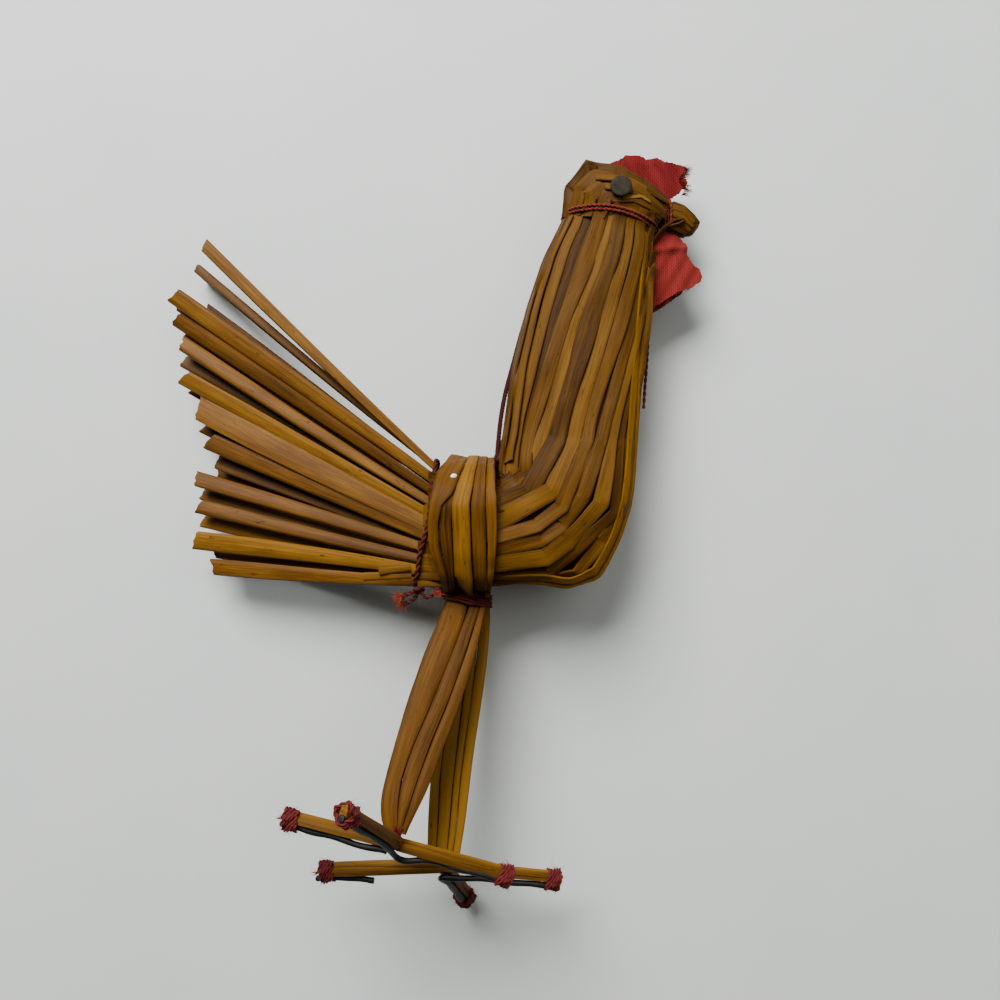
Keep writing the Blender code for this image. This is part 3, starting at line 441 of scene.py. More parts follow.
def cloth_material(name, dark, middle, light):
    """Plain weave: the yarns cross over and under, with slubs and dust, and painted shade that darkens the gaps
    between the yarns.
    """
    tree = Tree(name)
    uv = tree.add("UVMap", uv_map="straw").outputs[0]
    parts = tree.add("SeparateXYZ")
    tree.join(uv, parts.inputs[0])
    wander = tree.noise(tree.stretched(0.35, 0.35, 4.0), 2.0)
    turn = math.pi / WEAVE_PITCH
    across = tree.math("MULTIPLY_ADD", parts.outputs[0], turn, tree.math("MULTIPLY", wander, 2.5))
    along = tree.math("MULTIPLY_ADD", parts.outputs[1], turn, tree.math("MULTIPLY", wander, 1.5))
    warp = tree.math("ABSOLUTE", tree.math("SINE", across))
    weft = tree.math("ABSOLUTE", tree.math("SINE", along))
    over = tree.math("MULTIPLY", tree.math("SINE", across), tree.math("SINE", along))
    height = tree.math("MULTIPLY_ADD", over, 0.3, tree.math("MULTIPLY", warp, 0.65))
    height = tree.math("MULTIPLY_ADD", weft, 0.3, height)
    slub = tree.noise(tree.stretched(2.2, 0.3, 8.0), 2.0)
    fuzz = tree.noise(tree.stretched(14.0, 14.0, 2.0), 2.0)
    # The low places of the weave are darkened: painted shade in the gaps between the yarns
    tone = tree.math("MULTIPLY_ADD", height, 0.45, tree.math("MULTIPLY", slub, 0.35))
    tone = tree.math("MULTIPLY_ADD", fuzz, 0.25, tone)
    tone = tree.math("MULTIPLY_ADD", tree.value("shade"), 0.4, tone)
    tree.join(tree.ramp(tone, (0.2, dark), (0.6, middle), (1.0, light)), tree.shader.inputs["Base Color"])
    tree.shader.inputs["Roughness"].default_value = 0.9
    tree.shader.inputs["Specular IOR Level"].default_value = 0.15
    tree.bump(tree.math("MULTIPLY_ADD", fuzz, 0.3, height), 0.06)
    return tree.material


def iron_material(name):
    """Dark annealed wire with a few rubbed and rusty places."""
    tree = Tree(name)
    coarse = tree.noise(tree.stretched(0.8, 0.5), 3.0)
    fine = tree.noise(tree.stretched(7.0, 3.0, 5.0), 2.0)
    tone = tree.math("MULTIPLY_ADD", fine, 0.4, tree.math("MULTIPLY", coarse, 0.7))
    tree.join(tree.ramp(tone, (0.35, rgb(8, 7, 6)), (0.6, rgb(18, 15, 13)), (0.82, rgb(42, 34, 28))),
              tree.shader.inputs["Base Color"])
    tree.shader.inputs["Metallic"].default_value = 0.2
    tree.shader.inputs["Specular IOR Level"].default_value = 0.3
    tree.join(tree.math("MULTIPLY_ADD", fine, 0.25, 0.42), tree.shader.inputs["Roughness"])
    tree.bump(tone, 0.05)
    return tree.material


def eye_material(name):
    """A dark satin disc with fine wear."""
    tree = Tree(name)
    coords = tree.add("TexCoord").outputs["Object"]
    scale = tree.add("Mapping")
    tree.join(coords, scale.inputs["Vector"])
    scale.inputs["Scale"].default_value = (900.0, 900.0, 900.0)
    wear = tree.noise(scale.outputs[0], 3.0, 0.6)
    tree.join(tree.ramp(wear, (0.35, rgb(26, 23, 17)), (0.7, rgb(48, 41, 29))),
              tree.shader.inputs["Base Color"])
    tree.join(tree.math("MULTIPLY_ADD", wear, 0.2, 0.6), tree.shader.inputs["Roughness"])
    tree.shader.inputs["Specular IOR Level"].default_value = 0.08
    tree.bump(wear, 0.03)
    return tree.material


def painted_glint_material(name):
    """A near-white colour with a faint cloud, painted on a small bead as a highlight."""
    tree = Tree(name)
    coords = tree.add("TexCoord").outputs["Object"]
    scale = tree.add("Mapping")
    tree.join(coords, scale.inputs["Vector"])
    scale.inputs["Scale"].default_value = (1500.0, 1500.0, 1500.0)
    cloud = tree.noise(scale.outputs[0], 2.0)
    tree.join(tree.ramp(cloud, (0.3, rgb(214, 204, 184)), (0.7, rgb(243, 240, 232))),
              tree.shader.inputs["Base Color"])
    tree.shader.inputs["Roughness"].default_value = 0.18
    tree.bump(cloud, 0.03)
    return tree.material


def floor_material(name):
    """Pale board with a very faint mottling."""
    tree = Tree(name)
    coords = tree.add("TexCoord").outputs["Object"]
    scale = tree.add("Mapping")
    tree.join(coords, scale.inputs["Vector"])
    scale.inputs["Scale"].default_value = (28.0, 28.0, 28.0)
    mottle = tree.noise(scale.outputs[0], 4.0)
    tree.join(tree.ramp(mottle, (0.3, rgb(191, 196, 192)), (0.7, rgb(197, 201, 196))),
              tree.shader.inputs["Base Color"])
    tree.shader.inputs["Roughness"].default_value = 0.6
    tree.bump(mottle, 0.02)
    return tree.material


class Bundle:
    """Gathers many straws, threads or hairs into one mesh."""

    def __init__(self):
        self.points = []
        self.faces = []
        self.uvs = []
        self.shades = []
        self.rims = []

    def sweep(self, rings, around, along, shade, rims=None, closed=False):
        """Joins rings of equally many points. around and along are their coordinates in mm."""
        first = len(self.points)
        size = len(rings[0])
        for ring in rings:
            self.points += ring
            self.shades += [shade] * size
            self.rims += rims or [0.0] * size
        count = len(rings)
        last = count if closed else count - 1
        for k in range(last):
            m = (k + 1) % count
            for j in range(size):
                n = (j + 1) % size
                self.faces.append((first + k * size + j, first + k * size + n,
                                   first + m * size + n, first + m * size + j))
                self.uvs += [(around[j], along[k]), (around[j + 1], along[k]),
                             (around[j + 1], along[k + 1]), (around[j], along[k + 1])]
        if not closed:
            ends = ((0, range(size - 1, -1, -1)), (count - 1, range(size)))
            for k, order in ends:
                self.faces.append(tuple(first + k * size + j for j in order))
                self.uvs += [(around[j], along[k]) for j in order]

    def grid(self, corners, faces, uvs, shade):
        """Adds a ready mesh: its points, its faces and the coordinates of each face's corners."""
        first = len(self.points)
        self.points += corners
        self.shades += [shade] * len(corners)
        self.rims += [0.0] * len(corners)
        self.faces += [tuple(first + k for k in face) for face in faces]
        self.uvs += uvs

    def make(self, name, material, replaces=(), flat_angle=40):
        mesh = bpy.data.meshes.new(name)
        for point in self.points:
            point.z = max(point.z, FLOOR_GAP)
        mesh.from_pydata([tuple(p * MM) for p in self.points], [], self.faces)
        layer = mesh.uv_layers.new(name="straw")
        layer.data.foreach_set("uv", [c for uv in self.uvs for c in uv])
        for key, values in (("shade", self.shades), ("rim", self.rims)):
            mesh.attributes.new(key, "FLOAT", "POINT").data.foreach_set("value", values)
        mesh.materials.append(material)
        mesh.shade_smooth()
        mesh.set_sharp_from_angle(angle=math.radians(flat_angle))
        piece = bpy.data.objects.new(name, mesh)
        bpy.context.scene.collection.objects.link(piece)
        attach(piece, "root")
        if replaces:
            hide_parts(*replaces)
        return piece


def surface_of(*names):
    """The surface of some of the model's nodes, in millimetres, for laying pieces on."""
    points = []
    faces = []
    for name in names:
        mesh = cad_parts[name].data
        first = len(points)
        points += [v.co / MM for v in mesh.vertices]
        faces += [[first + k for k in p.vertices] for p in mesh.polygons]
    return BVHTree.FromPolygons(points, faces)


def press(surface, at, inward, reach=60.0):
    """The surface's point straight in from outside, or the nearest one where none is met."""
    hit = surface.ray_cast(at - inward * reach, inward)[0]
    return hit or surface.find_nearest(at)[0]


def smooth(values, width):
    """A moving average, with the two ends kept."""
    result = []
    for k in range(len(values)):
        reach = min(width, k, len(values) - 1 - k)
        window = values[k - reach:k + reach + 1]
        result.append(sum(window[1:], window[0].copy()) / len(window))
    return result


def between(before, start, end, after, t):
    """The point at the share t of the smooth curve from start to end."""
    return 0.5 * (2 * start + (end - before) * t
                  + (2 * before - 5 * start + 4 * end - after) * t ** 2
                  + (3 * start - before - 3 * end + after) * t ** 3)


def through(points, closed=False):
    """A smooth curve through points, sampled about every STEP. Points are Vectors of any size."""
    path = []
    count = len(points)
    last = count if closed else count - 1
    for k in range(last):
        if closed:
            before, start = points[k - 1], points[k]
            end, after = points[(k + 1) % count], points[(k + 2) % count]
        else:
            before, start = points[max(k - 1, 0)], points[k]
            end, after = points[k + 1], points[min(k + 2, count - 1)]
        steps = max(1, round((end - start).length / STEP))
        for step in range(steps):
            t = step / steps
            path.append(between(before, start, end, after, t))
    if not closed:
        path.append(points[-1])
    return path


def directions(path, closed=False):
    """The direction along a path at each of its points."""
    found = []
    count = len(path)
    for k in range(count):
        before = path[k - 1] if closed or k else path[0]
        after = path[(k + 1) % count] if closed or k < count - 1 else path[-1]
        found.append((after - before).normalized())
    return found


def frames(path, first_up, closed=False):
    """Direction, up and side at each point of a path, turning as little as possible."""
    result = []
    up = first_up
    for along in directions(path, closed):
        up = (up - along * up.dot(along)).normalized()
        result.append((along, up, along.cross(up)))
    return result


def flat_straw(bundle, middles, ups, widths, thickness, rng, shade, rolls=0.0, crown=0.0):
    """Sweeps one flattened straw along its middles, mitred where it is folded."""
    alongs = directions(middles)
    rings = []
    count = len(middles)
    along_uv = [rng.uniform(0.0, 400.0)]
    around = [0.0]
    width_now = max(widths)
    for k in range(1, len(STRAW_SECTION) + 1):
        a = STRAW_SECTION[k - 1]
        b = STRAW_SECTION[k % len(STRAW_SECTION)]
        around.append(around[-1] + math.hypot((a[0] - b[0]) * width_now / 2,
                                              (a[1] - b[1]) * thickness / 2))
    shift = rng.uniform(0.0, 300.0)
    around = [value + shift for value in around]
    phase = rng.uniform(0.0, 6.28)
    for k, (middle, up, along) in enumerate(zip(middles, ups, alongs)):
        if k:
            along_uv.append(along_uv[-1] + (middle - middles[k - 1]).length)
        side = along.cross(up).normalized()
        up = side.cross(along)
        roll = rolls[k] if isinstance(rolls, list) else rolls
        turn = math.radians(roll) * (1.0 + 0.3 * math.sin(phase + k * 0.21))
        side, up = (side * math.cos(turn) + up * math.sin(turn),
                    up * math.cos(turn) - side * math.sin(turn))
        half = widths[k] / 2 * (1.0 + 0.03 * math.sin(phase * 2 + k * 0.37))
        if 0 < k < count - 1:
            half /= max(0.75, along.dot((middles[k + 1] - middle).normalized()))
        ring = []
        for across, height in STRAW_SECTION:
            lift = crown * (1 - across * across)
            ring.append(middle + side * across * half + up * (height * thickness / 2 + lift))
        rings.append(ring)
    rims = [abs(across) for across, height in STRAW_SECTION]
    bundle.sweep(rings, around, along_uv, shade, rims)


def lay_straw(bundle, surface, guide, inwards, widths, rng, lift=0.0, shade=0.0, rolls=0.0,
              thickness=STRAW_THICKNESS, soft=2, dive=0.0, lifts=None, on_sheaf=False):
    """Lays a flattened straw on a surface, along guide points seen from outside."""
    alongs = directions(guide)
    middles = []
    ups = []
    for at, along, inward, width in zip(guide, alongs, inwards, widths):
        side = along.cross(inward).normalized()
        centre = press(surface, at, inward)
        reach = min(width * 0.45, PROBE)
        left = press(surface, at - side * reach, inward)
        right = press(surface, at + side * reach, inward)
        up = (right - left).cross(along)
        if up.dot(inward) > 0:
            up = -up
        if up.length < 1e-6 or up.normalized().dot(inward) > -0.35 or (on_sheaf and at.x < ROOT_START):
            up = -inward
        middles.append(centre * 0.5 + (left + right) * 0.25)
        ups.append((up.normalized() - inward * 0.25).normalized())
    for k in range(1, len(middles)):
        if on_sheaf and abs(inwards[k].z) > 0.99:
            most = STEEPEST * (guide[k] - guide[k - 1]).length
            rise = middles[k].z - middles[k - 1].z
            middles[k].z = middles[k - 1].z + min(most, max(-most, rise))
    middles = smooth(middles, soft)
    for middle, at, inward in zip(middles, guide, inwards):
        if abs(inward.z) > 0.99:
            middle.x, middle.y = at.x, at.y
            if on_sheaf and at.x < ROOT_START:
                share = min(1.0, (ROOT_START - at.x) / 2.6)
                middle.z = middle.z * (1 - share) + (BODY_Z - inward.z * ROOT_HALF) * share
    ups = [up.normalized() for up in smooth(ups, 2)]
    count = len(middles)
    laid = []
    for k, (middle, up) in enumerate(zip(middles, ups)):
        from_end = (count - 1 - k) * STEP
        sink = dive * max(0.0, 1.0 - from_end / 2.5)
        more = lifts[k] if lifts else 0.0
        laid.append(middle + up * (lift + more - thickness / 2 - sink))
    flat_straw(bundle, laid, ups, widths, thickness, rng, shade, rolls)


def table_path(rows):
    """A smooth path through rows of x, y and width: its points on the floor plane and its widths."""
    samples = through([Vector(row) for row in rows])
    points = [Vector((s.x, s.y, 0.0)) for s in samples]
    return points, [s.z for s in samples]


def folded_path(rows):
    """Straight stretches between rows of x, y and width: points, widths and stretch numbers."""
    points = []
    widths = []
    parts = []
    for number, (low, high) in enumerate(zip(rows, rows[1:])):
        low, high = Vector(low), Vector(high)
        length = (high - low).xy.length
        steps = max(2, round(length / STEP))
        near = min(0.3, 0.3 / length)
        shares = [0.0, near] + [step / steps for step in range(1, steps)] + [1 - near]
        if number == len(rows) - 2:
            shares.append(1.0)
        for share in shares:
            at = low.lerp(high, share)
            points.append(Vector((at.x, at.y, 0.0)))
            widths.append(at.z)
            parts.append(number)
    return points, widths, parts


def line_path(line, share):
    """A path beside the sheaf at a share of its half thickness, with the way into the sheaf."""
    samples = through([Vector((x, y, z + half * share)) for x, y, z, half in line])
    inwards = []
    for along in directions([Vector((s.x, s.y, 0.0)) for s in samples]):
        inwards.append(along.cross(UP))
    return samples, inwards


def make_neck_side(right):
    """The straws on one side of the neck and body."""
    rng = random.Random(11 if right else 12)
    surface = surface_of("neck_head_and_body")
    inward = DOWN if right else UP
    level = ABOVE if right else BELOW
    bundle = Bundle()
    for rows in DEEP_NECK_STRAWS:
        points, widths = table_path(((rows[0][0] + 0.6, rows[0][1] + 2.2, rows[0][2]),) + rows)
        guide = [Vector((p.x, p.y, level)) for p in points]
        # The deeper straws are tinted darker: painted shade
        lay_straw(bundle, surface, guide, [inward] * len(guide), widths, rng, lift=-0.45,
                  shade=-0.4, rolls=rng.uniform(-6, 6))
    for k, (neck, body) in enumerate(zip(NECK_STRAWS, BODY_STRAWS)):
        head = neck[0]
        start = ((head[0] + 0.7, head[1] + 2.4, head[2]),)
        lift, shade = NECK_LOOKS[k]
        tilt = rng.uniform(-6, 6)
        jitter = 0.0 if right else rng.uniform(-0.25, 0.25)
        if not right:
            shade += rng.uniform(-0.2, 0.2)
        if k < UNDER_STRAWS:
            points, widths = table_path(start + neck)
            widths = [w * NECK_WIDENING for w in widths]
            guide = [Vector((p.x + jitter, p.y, level)) for p in points]
            lay_straw(bundle, surface, guide, [inward] * len(guide), widths, rng, lift=lift,
                      shade=shade, rolls=tilt, dive=0.8)
            rows = ((neck[-1][0] + 0.4, neck[-1][1] + 0.6, neck[-1][2]),) + body
            points, widths, parts = folded_path(rows)
            # Past the fold these straws lie under others and are tinted darker: painted shade
            lift = -0.1 - 0.12 * k
            shade -= 0.35
        else:
            points, widths = table_path(start + neck[:-1])
            wide = 1.0 if k == len(NECK_STRAWS) - 1 else NECK_WIDENING
            widths = [w * wide for w in widths]
            parts = [0] * len(points)
            more, sizes, numbers = folded_path((neck[-2],) + body)
            points += more[1:]
            wide = 1.1 if k == len(NECK_STRAWS) - 1 else BODY_WIDENING
            grow = [min(1.0, j / 6) for j in range(len(sizes))]
            widths += [w * (NECK_WIDENING * (1 - g) + wide * g) for w, g in zip(sizes[1:], grow[1:])]
            parts += [n + 1 for n in numbers[1:]]
        last = points[-1]
        step = 1
        while last.x - step * STEP > value_at(YARN_LEVELS, YARN_PLACES, last.y) - 0.9:
            spread = (last.y - 2.0) * (0.018 if last.y > 2.0 else 0.002) * step
            points.append(Vector((last.x - step * STEP, last.y + spread, 0.0)))
            widths.append(widths[-1])
            parts.append(parts[-1])
            step += 1
        tilts = [tilt, tilt] + [rng.choice((-1, 1)) * rng.uniform(4, 12) for _ in range(8)]
        rolls = [tilts[part] for part in parts]
        guide = [Vector((p.x + jitter, p.y, level)) for p in points]
        lay_straw(bundle, surface, guide, [inward] * len(guide), widths, rng, lift=lift, shade=shade,
                  rolls=rolls, soft=4 if k > 8 else 1, on_sheaf=True)
    side = "right" if right else "left"
    bundle.make(side + "_neck_and_body_straws", straw,
                ["neck_head_and_body"] if right else ())


def make_edge_straws():
    """The straws along the breast and belly, along the nape and over the crown."""
    rng = random.Random(21)
    surface = surface_of("neck_head_and_body")
    for name, line, count, sign, spread in (
            ("breast_straws", BREAST_LINE, SIDE_STRAWS, 1.0, 0.78),
            ("nape_straws", NAPE_LINE, SIDE_STRAWS, -1.0, 0.78),
            ("crown_straws", CROWN_LINE, CROWN_STRAWS, -1.0, 0.72)):
        bundle = Bundle()
        for k in range(count):
            share = spread * (2 * (k + 0.5) / count - 1)
            samples, inwards = line_path(line, share)
            inwards = [sign * inward for inward in inwards]
            widths = []
            for j in range(len(samples)):
                place = j / (len(samples) - 1) * (len(line) - 1)
                low = min(int(place), len(line) - 2)
                half = line[low][3] + (line[low + 1][3] - line[low][3]) * (place - low)
                widths.append(half * 2 * spread / count * rng.uniform(0.99, 1.01) * 1.12)
            guide = [s - inward * 6.0 for s, inward in zip(samples, inwards)]
            lift = rng.uniform(-0.05, 0.2) + (0.65 if name == "nape_straws" else 0.0)
            breast = name == "breast_straws"
            corners = [sum(rise * math.exp(-((s.x - x) ** 2 + (s.y - y) ** 2) / reach ** 2)
                           for x, y, reach, rise in BREAST_CORNERS) if breast else 0.0 for s in samples]
            # The breast straws are tinted lighter: painted light on the side that faces away from the lamps
            lay_straw(bundle, surface, guide, inwards, widths, rng, lift=lift,
                      shade=rng.uniform(-0.3, 0.25) + (0.45 if breast else 0.0),
                      rolls=rng.uniform(-6, 6), soft=1, lifts=corners)
        # The breast straws take a lighter copy of the straw finish, as painted light
        bundle.make(name, lit_breast_straw if name == "breast_straws" else straw)


def make_head(right):
    """The straws folded over one side of the head, and of the beak."""
    rng = random.Random(31 if right else 32)
    surface = surface_of("neck_head_and_body")
    inward = DOWN if right else UP
    level = ABOVE if right else BELOW
    bundle = Bundle()
    for k, rows in enumerate(HEAD_STRAWS):
        points, widths, parts = folded_path(rows)
        tilts = [rng.choice((-1, 1)) * rng.uniform(6, 16) for _ in range(8)]
        guide = [Vector((p.x, p.y, level)) for p in points]
        lay_straw(bundle, surface, guide, [inward] * len(guide), widths, rng,
                  lift=0.3 - 0.05 * k + 0.1 * (k % 2), shade=rng.uniform(-0.35, 0.25),
                  rolls=[tilts[part] for part in parts], soft=1, on_sheaf=True)
    points, widths, parts = folded_path(((27.4, 60.3, 0.8), (30.6, 60.7, 1.0), (32.2, 59.7, 0.8)))
    guide = [Vector((p.x, p.y, level)) for p in points]
    lay_straw(bundle, surface, guide, [inward] * len(guide), widths, rng, lift=0.42, shade=0.6,
              rolls=12.0, soft=1, thickness=0.3)
    for k, rows in enumerate(BEAK_STRAWS):
        points, widths = table_path(rows)
        guide = [Vector((p.x, p.y, level)) for p in points]
        lay_straw(bundle, surface, guide, [inward] * len(guide), widths, rng,
                  lift=0.14 + 0.05 * (k % 2), shade=rng.uniform(-0.2, 0.2), rolls=rng.uniform(-8, 8),
                  soft=1, thickness=0.35, on_sheaf=True)
    side = "right" if right else "left"
    bundle.make(side + "_head_straws", straw)


def make_inner_straws():
    """The inside of the sheaf, as it shows between the outer straws, coloured darker as painted shade."""
    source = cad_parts["neck_head_and_body"].data
    bm = bmesh.new()
    bm.from_mesh(source)
    bmesh.ops.remove_doubles(bm, verts=bm.verts[:], dist=0.01 * MM)
    bm.normal_update()
    moved = []
    for v in bm.verts:
        in_beak = min(1.0, max(0.0, (v.co.x / MM - BEAK_FROM) / 1.5))
        moved.append(v.co - v.normal * (INNER_DEPTH * (1 - in_beak) + 0.1 * in_beak) * MM)
    for vert, place in zip(bm.verts, moved):
        vert.co = place
    mesh = bpy.data.meshes.new("inner_straws")
    bm.to_mesh(mesh)
    bm.free()
    # A darker tint for the whole inside: painted shade
    mesh.attributes.new("shade", "FLOAT", "POINT").data.foreach_set("value", [-0.2] * len(mesh.vertices))
    mesh.attributes.new("rim", "FLOAT", "POINT").data.foreach_set("value", [0.0] * len(mesh.vertices))
    layer = mesh.uv_layers.new(name="straw")
    for loop in mesh.loops:
        at = mesh.vertices[loop.vertex_index].co / MM
        layer.data[loop.index].uv = (at.y + at.z, at.x) if at.x > BEAK_FROM else (at.x + at.z, at.y)
    mesh.materials.append(shaded_inner_straw)
    mesh.materials.append(straw)
    for polygon in mesh.polygons:
        polygon.material_index = int(polygon.center.x / MM > BEAK_FROM + 0.5)
    mesh.shade_smooth()
    piece = bpy.data.objects.new("inner_straws", mesh)
    bpy.context.scene.collection.objects.link(piece)
    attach(piece, "root")


def value_at(levels, values, level):
    """The value between the two given levels around this one. Levels go down."""
    for low in range(len(levels) - 1):
        if level >= levels[low + 1] or low == len(levels) - 2:
            share = (levels[low] - level) / (levels[low] - levels[low + 1])
            share = min(max(share, 0.0), 1.0)
            return values[low] + (values[low + 1] - values[low]) * share


def make_saddle():
    """The flattened straws laid over the back, from the waist on one flank to the other."""
    rng = random.Random(41)
    surface = surface_of("saddle_and_legs")
    bundle = Bundle()
    for places, sizes, lift, shade in SADDLE_STRAWS:
        route = []
        y = -8.8
        while y < 8.4:
            route.append((Vector((0.0, y, 40.0)), DOWN))
            y += STEP
        for degrees in range(62, -63, -4):
            out = Vector((0.0, math.cos(math.radians(degrees)), math.sin(math.radians(degrees))))
            route.append((Vector((0.0, 3.6, BODY_Z)) + out * 30.0, -out))
        y = 8.0
        while y > -8.8:
            route.append((Vector((0.0, y, -20.0)), UP))
            y -= STEP
        guide = []
        inwards = []
        widths = []
        lifts = []
        fold_y, reach, rise = SADDLE_FOLD
        for at, inward in route:
            probe = press(surface, Vector((0.0, at.y, at.z)), inward)
            x = value_at(SADDLE_LEVELS, places, probe.y)
            guide.append(Vector((x, at.y, at.z)))
            inwards.append(inward)
            widths.append(value_at(SADDLE_LEVELS, sizes, probe.y))
            lifts.append(rise * max(0.0, 1 - abs(probe.y - fold_y) / reach)
                         + 0.3 * min(0.0, probe.y + 7.2))
        lay_straw(bundle, surface, guide, inwards, widths, rng, lift=lift, shade=shade,
                  rolls=rng.uniform(-4, 4), thickness=0.5, soft=0, lifts=lifts)
    bundle.make("saddle_straws", leg_straw, ["saddle_and_legs"])


def make_leg(name, table, line, seed, tint_and_painted_light):
    """One leg: flattened straws side by side on its right and on its left face."""
    rng = random.Random(seed)
    bundle = Bundle()
    levels = [y for y, z in line]
    heights = [z for y, z in line]
    for sign in (1.0, -1.0):
        for rows in table:
            points, widths = table_path(rows)
            lift = rng.uniform(0.0, 0.2)
            wander = rng.uniform(0.0, 6.0)
            middles = []
            for k, p in enumerate(points):
                z = value_at(levels, heights, p.y)
                rise = sign * (LEG_HALF / 2 + lift) + 0.06 * math.sin(wander + k * 0.3)
                middles.append(Vector((p.x, p.y, z + rise)))
            ups = []
            for along in directions(middles):
                up = Vector((0.0, 0.0, sign))
                ups.append((up - along * up.dot(along)).normalized())
            flat_straw(bundle, smooth(middles, 2), ups, widths, LEG_HALF, rng,
                       rng.uniform(-0.15, 0.3) + tint_and_painted_light, rng.uniform(-5, 5), crown=0.08)
    bundle.make(name + "_straws", leg_straw)


def make_tail():
    """Hollow straws, flattened more or less, bent a little and cut aslant, in the places of the model's own."""
    for number in range(1, 31):
        node = f"tail_straw_{number:02d}"
        rng = random.Random(100 + number)
        points = [v.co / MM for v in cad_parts[node].data.vertices]
        right = max(p.x for p in points)
        root_points = [p for p in points if p.x > right - 0.25]
        root = sum(root_points, Vector()) / len(root_points)
        far = max((p - root).length for p in points)
        tip_points = [p for p in points if (p - root).length > far - 0.9]
        tip = sum(tip_points, Vector()) / len(tip_points)
        along = (tip - root).normalized()
        diameter = 2 * max((p - tip - along * (p - tip).dot(along)).length for p in tip_points)
        length = (tip - root).length
        side = along.cross(UP).normalized()
        up = side.cross(along)
        width, shade = TAIL_LOOKS.get(number, (TAIL_WIDTH, rng.uniform(-0.2, 0.3)))
        thick = min(width, max(0.9, (diameter * 1.5 - width * 0.55) * 0.55))
        bend = rng.uniform(-0.5, 0.5)
        sag = rng.uniform(-0.3, 0.3)
        twist = math.radians(rng.uniform(-16, 16))
        ribs = [(rng.uniform(0.012, 0.03), rng.randint(3, 7), rng.uniform(0.0, 6.28)) for _ in range(3)]
        slant = rng.uniform(-0.45, 0.45)
        ragged = [rng.uniform(-0.22, 0.22) for _ in range(TAIL_SECTION)]
        rings = []
        travelled = []
        for share in (0.0, 0.03, 0.08, 0.15, 0.24, 0.35, 0.48, 0.62, 0.76, 0.88, 0.96, 1.0):
            bow = math.sin(math.pi * share) * (1 - 0.3 * share)
            middle = root + along * (length * share) + side * bend * bow + up * sag * bow
            grown = min(1.0, 0.52 + 0.48 * (share / 0.8) ** 0.85)
            pinch = 1.0 - 0.35 * max(0.0, 1 - share / 0.25)
            ring = []
            for j in range(TAIL_SECTION):
                turn = 2 * math.pi * j / TAIL_SECTION
                rib = 1 + sum(size * math.sin(count * turn + phase) for size, count, phase in ribs)
                a = math.copysign(abs(math.cos(turn)) ** 0.62, math.cos(turn)) * width / 2 * grown * rib
                b = math.copysign(abs(math.sin(turn)) ** 0.62, math.sin(turn)) * thick / 2 * grown * pinch
                across = a * math.cos(twist) - b * rib * math.sin(twist)
                high = a * math.sin(twist) + b * rib * math.cos(twist)
                at = middle + side * across + up * high
                if share == 1.0:
                    at += along * (slant * across + ragged[j])
                ring.append(at)
            rings.append(ring)
            travelled.append(number * 31.0 + length * share)
        outer = rings[-1]
        centre = sum(outer, Vector()) / TAIL_SECTION
        narrow = 1 - 0.56 / thick
        for depth, size in ((0.0, narrow), (6.0, narrow), (9.0, 0.25)):
            rings.append([centre - along * depth + (p - centre) * size for p in outer])
            travelled.append(travelled[-1] + depth / 2 + 0.3)
        around = [(width + thick) * 1.6 * j / TAIL_SECTION + number * 17.0 for j in range(TAIL_SECTION + 1)]
        bundle = Bundle()
        bundle.sweep(rings, around, travelled, shade)
        bundle.make(f"hollow_straw_{number:02d}", tail_straw, [node], flat_angle=32)


def twisted(bundle, path, diameter, rng, plies=2, pitch=None, closed=False, shade=0.0, up=UP,
            sides=7):
    """Plies wound round each other along a path."""
    pitch = pitch or diameter * 3.2
    fine = []
    count = len(path)
    last = count if closed else count - 1
    for k in range(last):
        start, end = path[k], path[(k + 1) % count]
        steps = max(1, round((end - start).length / (pitch / 9)))
        fine += [start.lerp(end, step / steps) for step in range(steps)]
    if not closed:
        fine.append(path[-1])
    around = [2 * math.pi * diameter * PLY_RADIUS * j / sides for j in range(sides + 1)]
    travelled = [0.0]
    for low, high in zip(fine, fine[1:]):
        travelled.append(travelled[-1] + (high - low).length)
    if closed:
        travelled.append(travelled[-1] + (fine[0] - fine[-1]).length)
        turns = max(1, round(travelled[-1] / pitch))
        pitch = travelled[-1] / turns
    for ply in range(plies):
        centres = []
        for k, (along, high, side) in enumerate(frames(fine, up, closed)):
            turn = 2 * math.pi * (travelled[k] / pitch + ply / plies)
            centres.append(fine[k] + (high * math.cos(turn) + side * math.sin(turn)) * diameter * 0.23)
        rings = []
        for centre, (along, high, side) in zip(centres, frames(centres, up, closed)):
            rings.append([centre + (high * math.cos(2 * math.pi * j / sides)
                                    + side * math.sin(2 * math.pi * j / sides)) * diameter * 0.27
                          for j in range(sides)])
        offset = rng.uniform(0.0, 90.0)
        bundle.sweep(rings, around, [t + offset for t in travelled] + [travelled[-1] + offset],
                     shade + rng.uniform(-0.15, 0.15), closed=closed)
    return fine


def hair(bundle, start, way, length, rng, thickness=0.05, shade=0.2):
    """One loose fibre: a thin curved three-sided thread."""
    curl = Vector((rng.uniform(-1, 1), rng.uniform(-1, 1), rng.uniform(-1, 1)))
    points = [start]
    for k in range(1, 5):
        points.append(start + way * (length * k / 4) + curl * (length * 0.3 * (k / 4) ** 2))
    for point in points:
        point.z = max(point.z, 0.06)
    rings = []
    for k, (point, (along, high, side)) in enumerate(zip(points, frames(points, rng_up(way)))):
        size = thickness * (1 - 0.15 * k)
        rings.append([point + (high * math.cos(t) + side * math.sin(t)) * size / 2
                      for t in (0.0, 2.094, 4.189)])
    bundle.sweep(rings, [0.0, 0.1, 0.2, 0.3], [length * k / 4 for k in range(5)], shade)


def rng_up(way):
    """Any direction well off the given one."""
    return Vector((0.0, 0.0, 1.0)) if abs(way.z) < 0.8 * way.length else Vector((1.0, 0.0, 0.0))


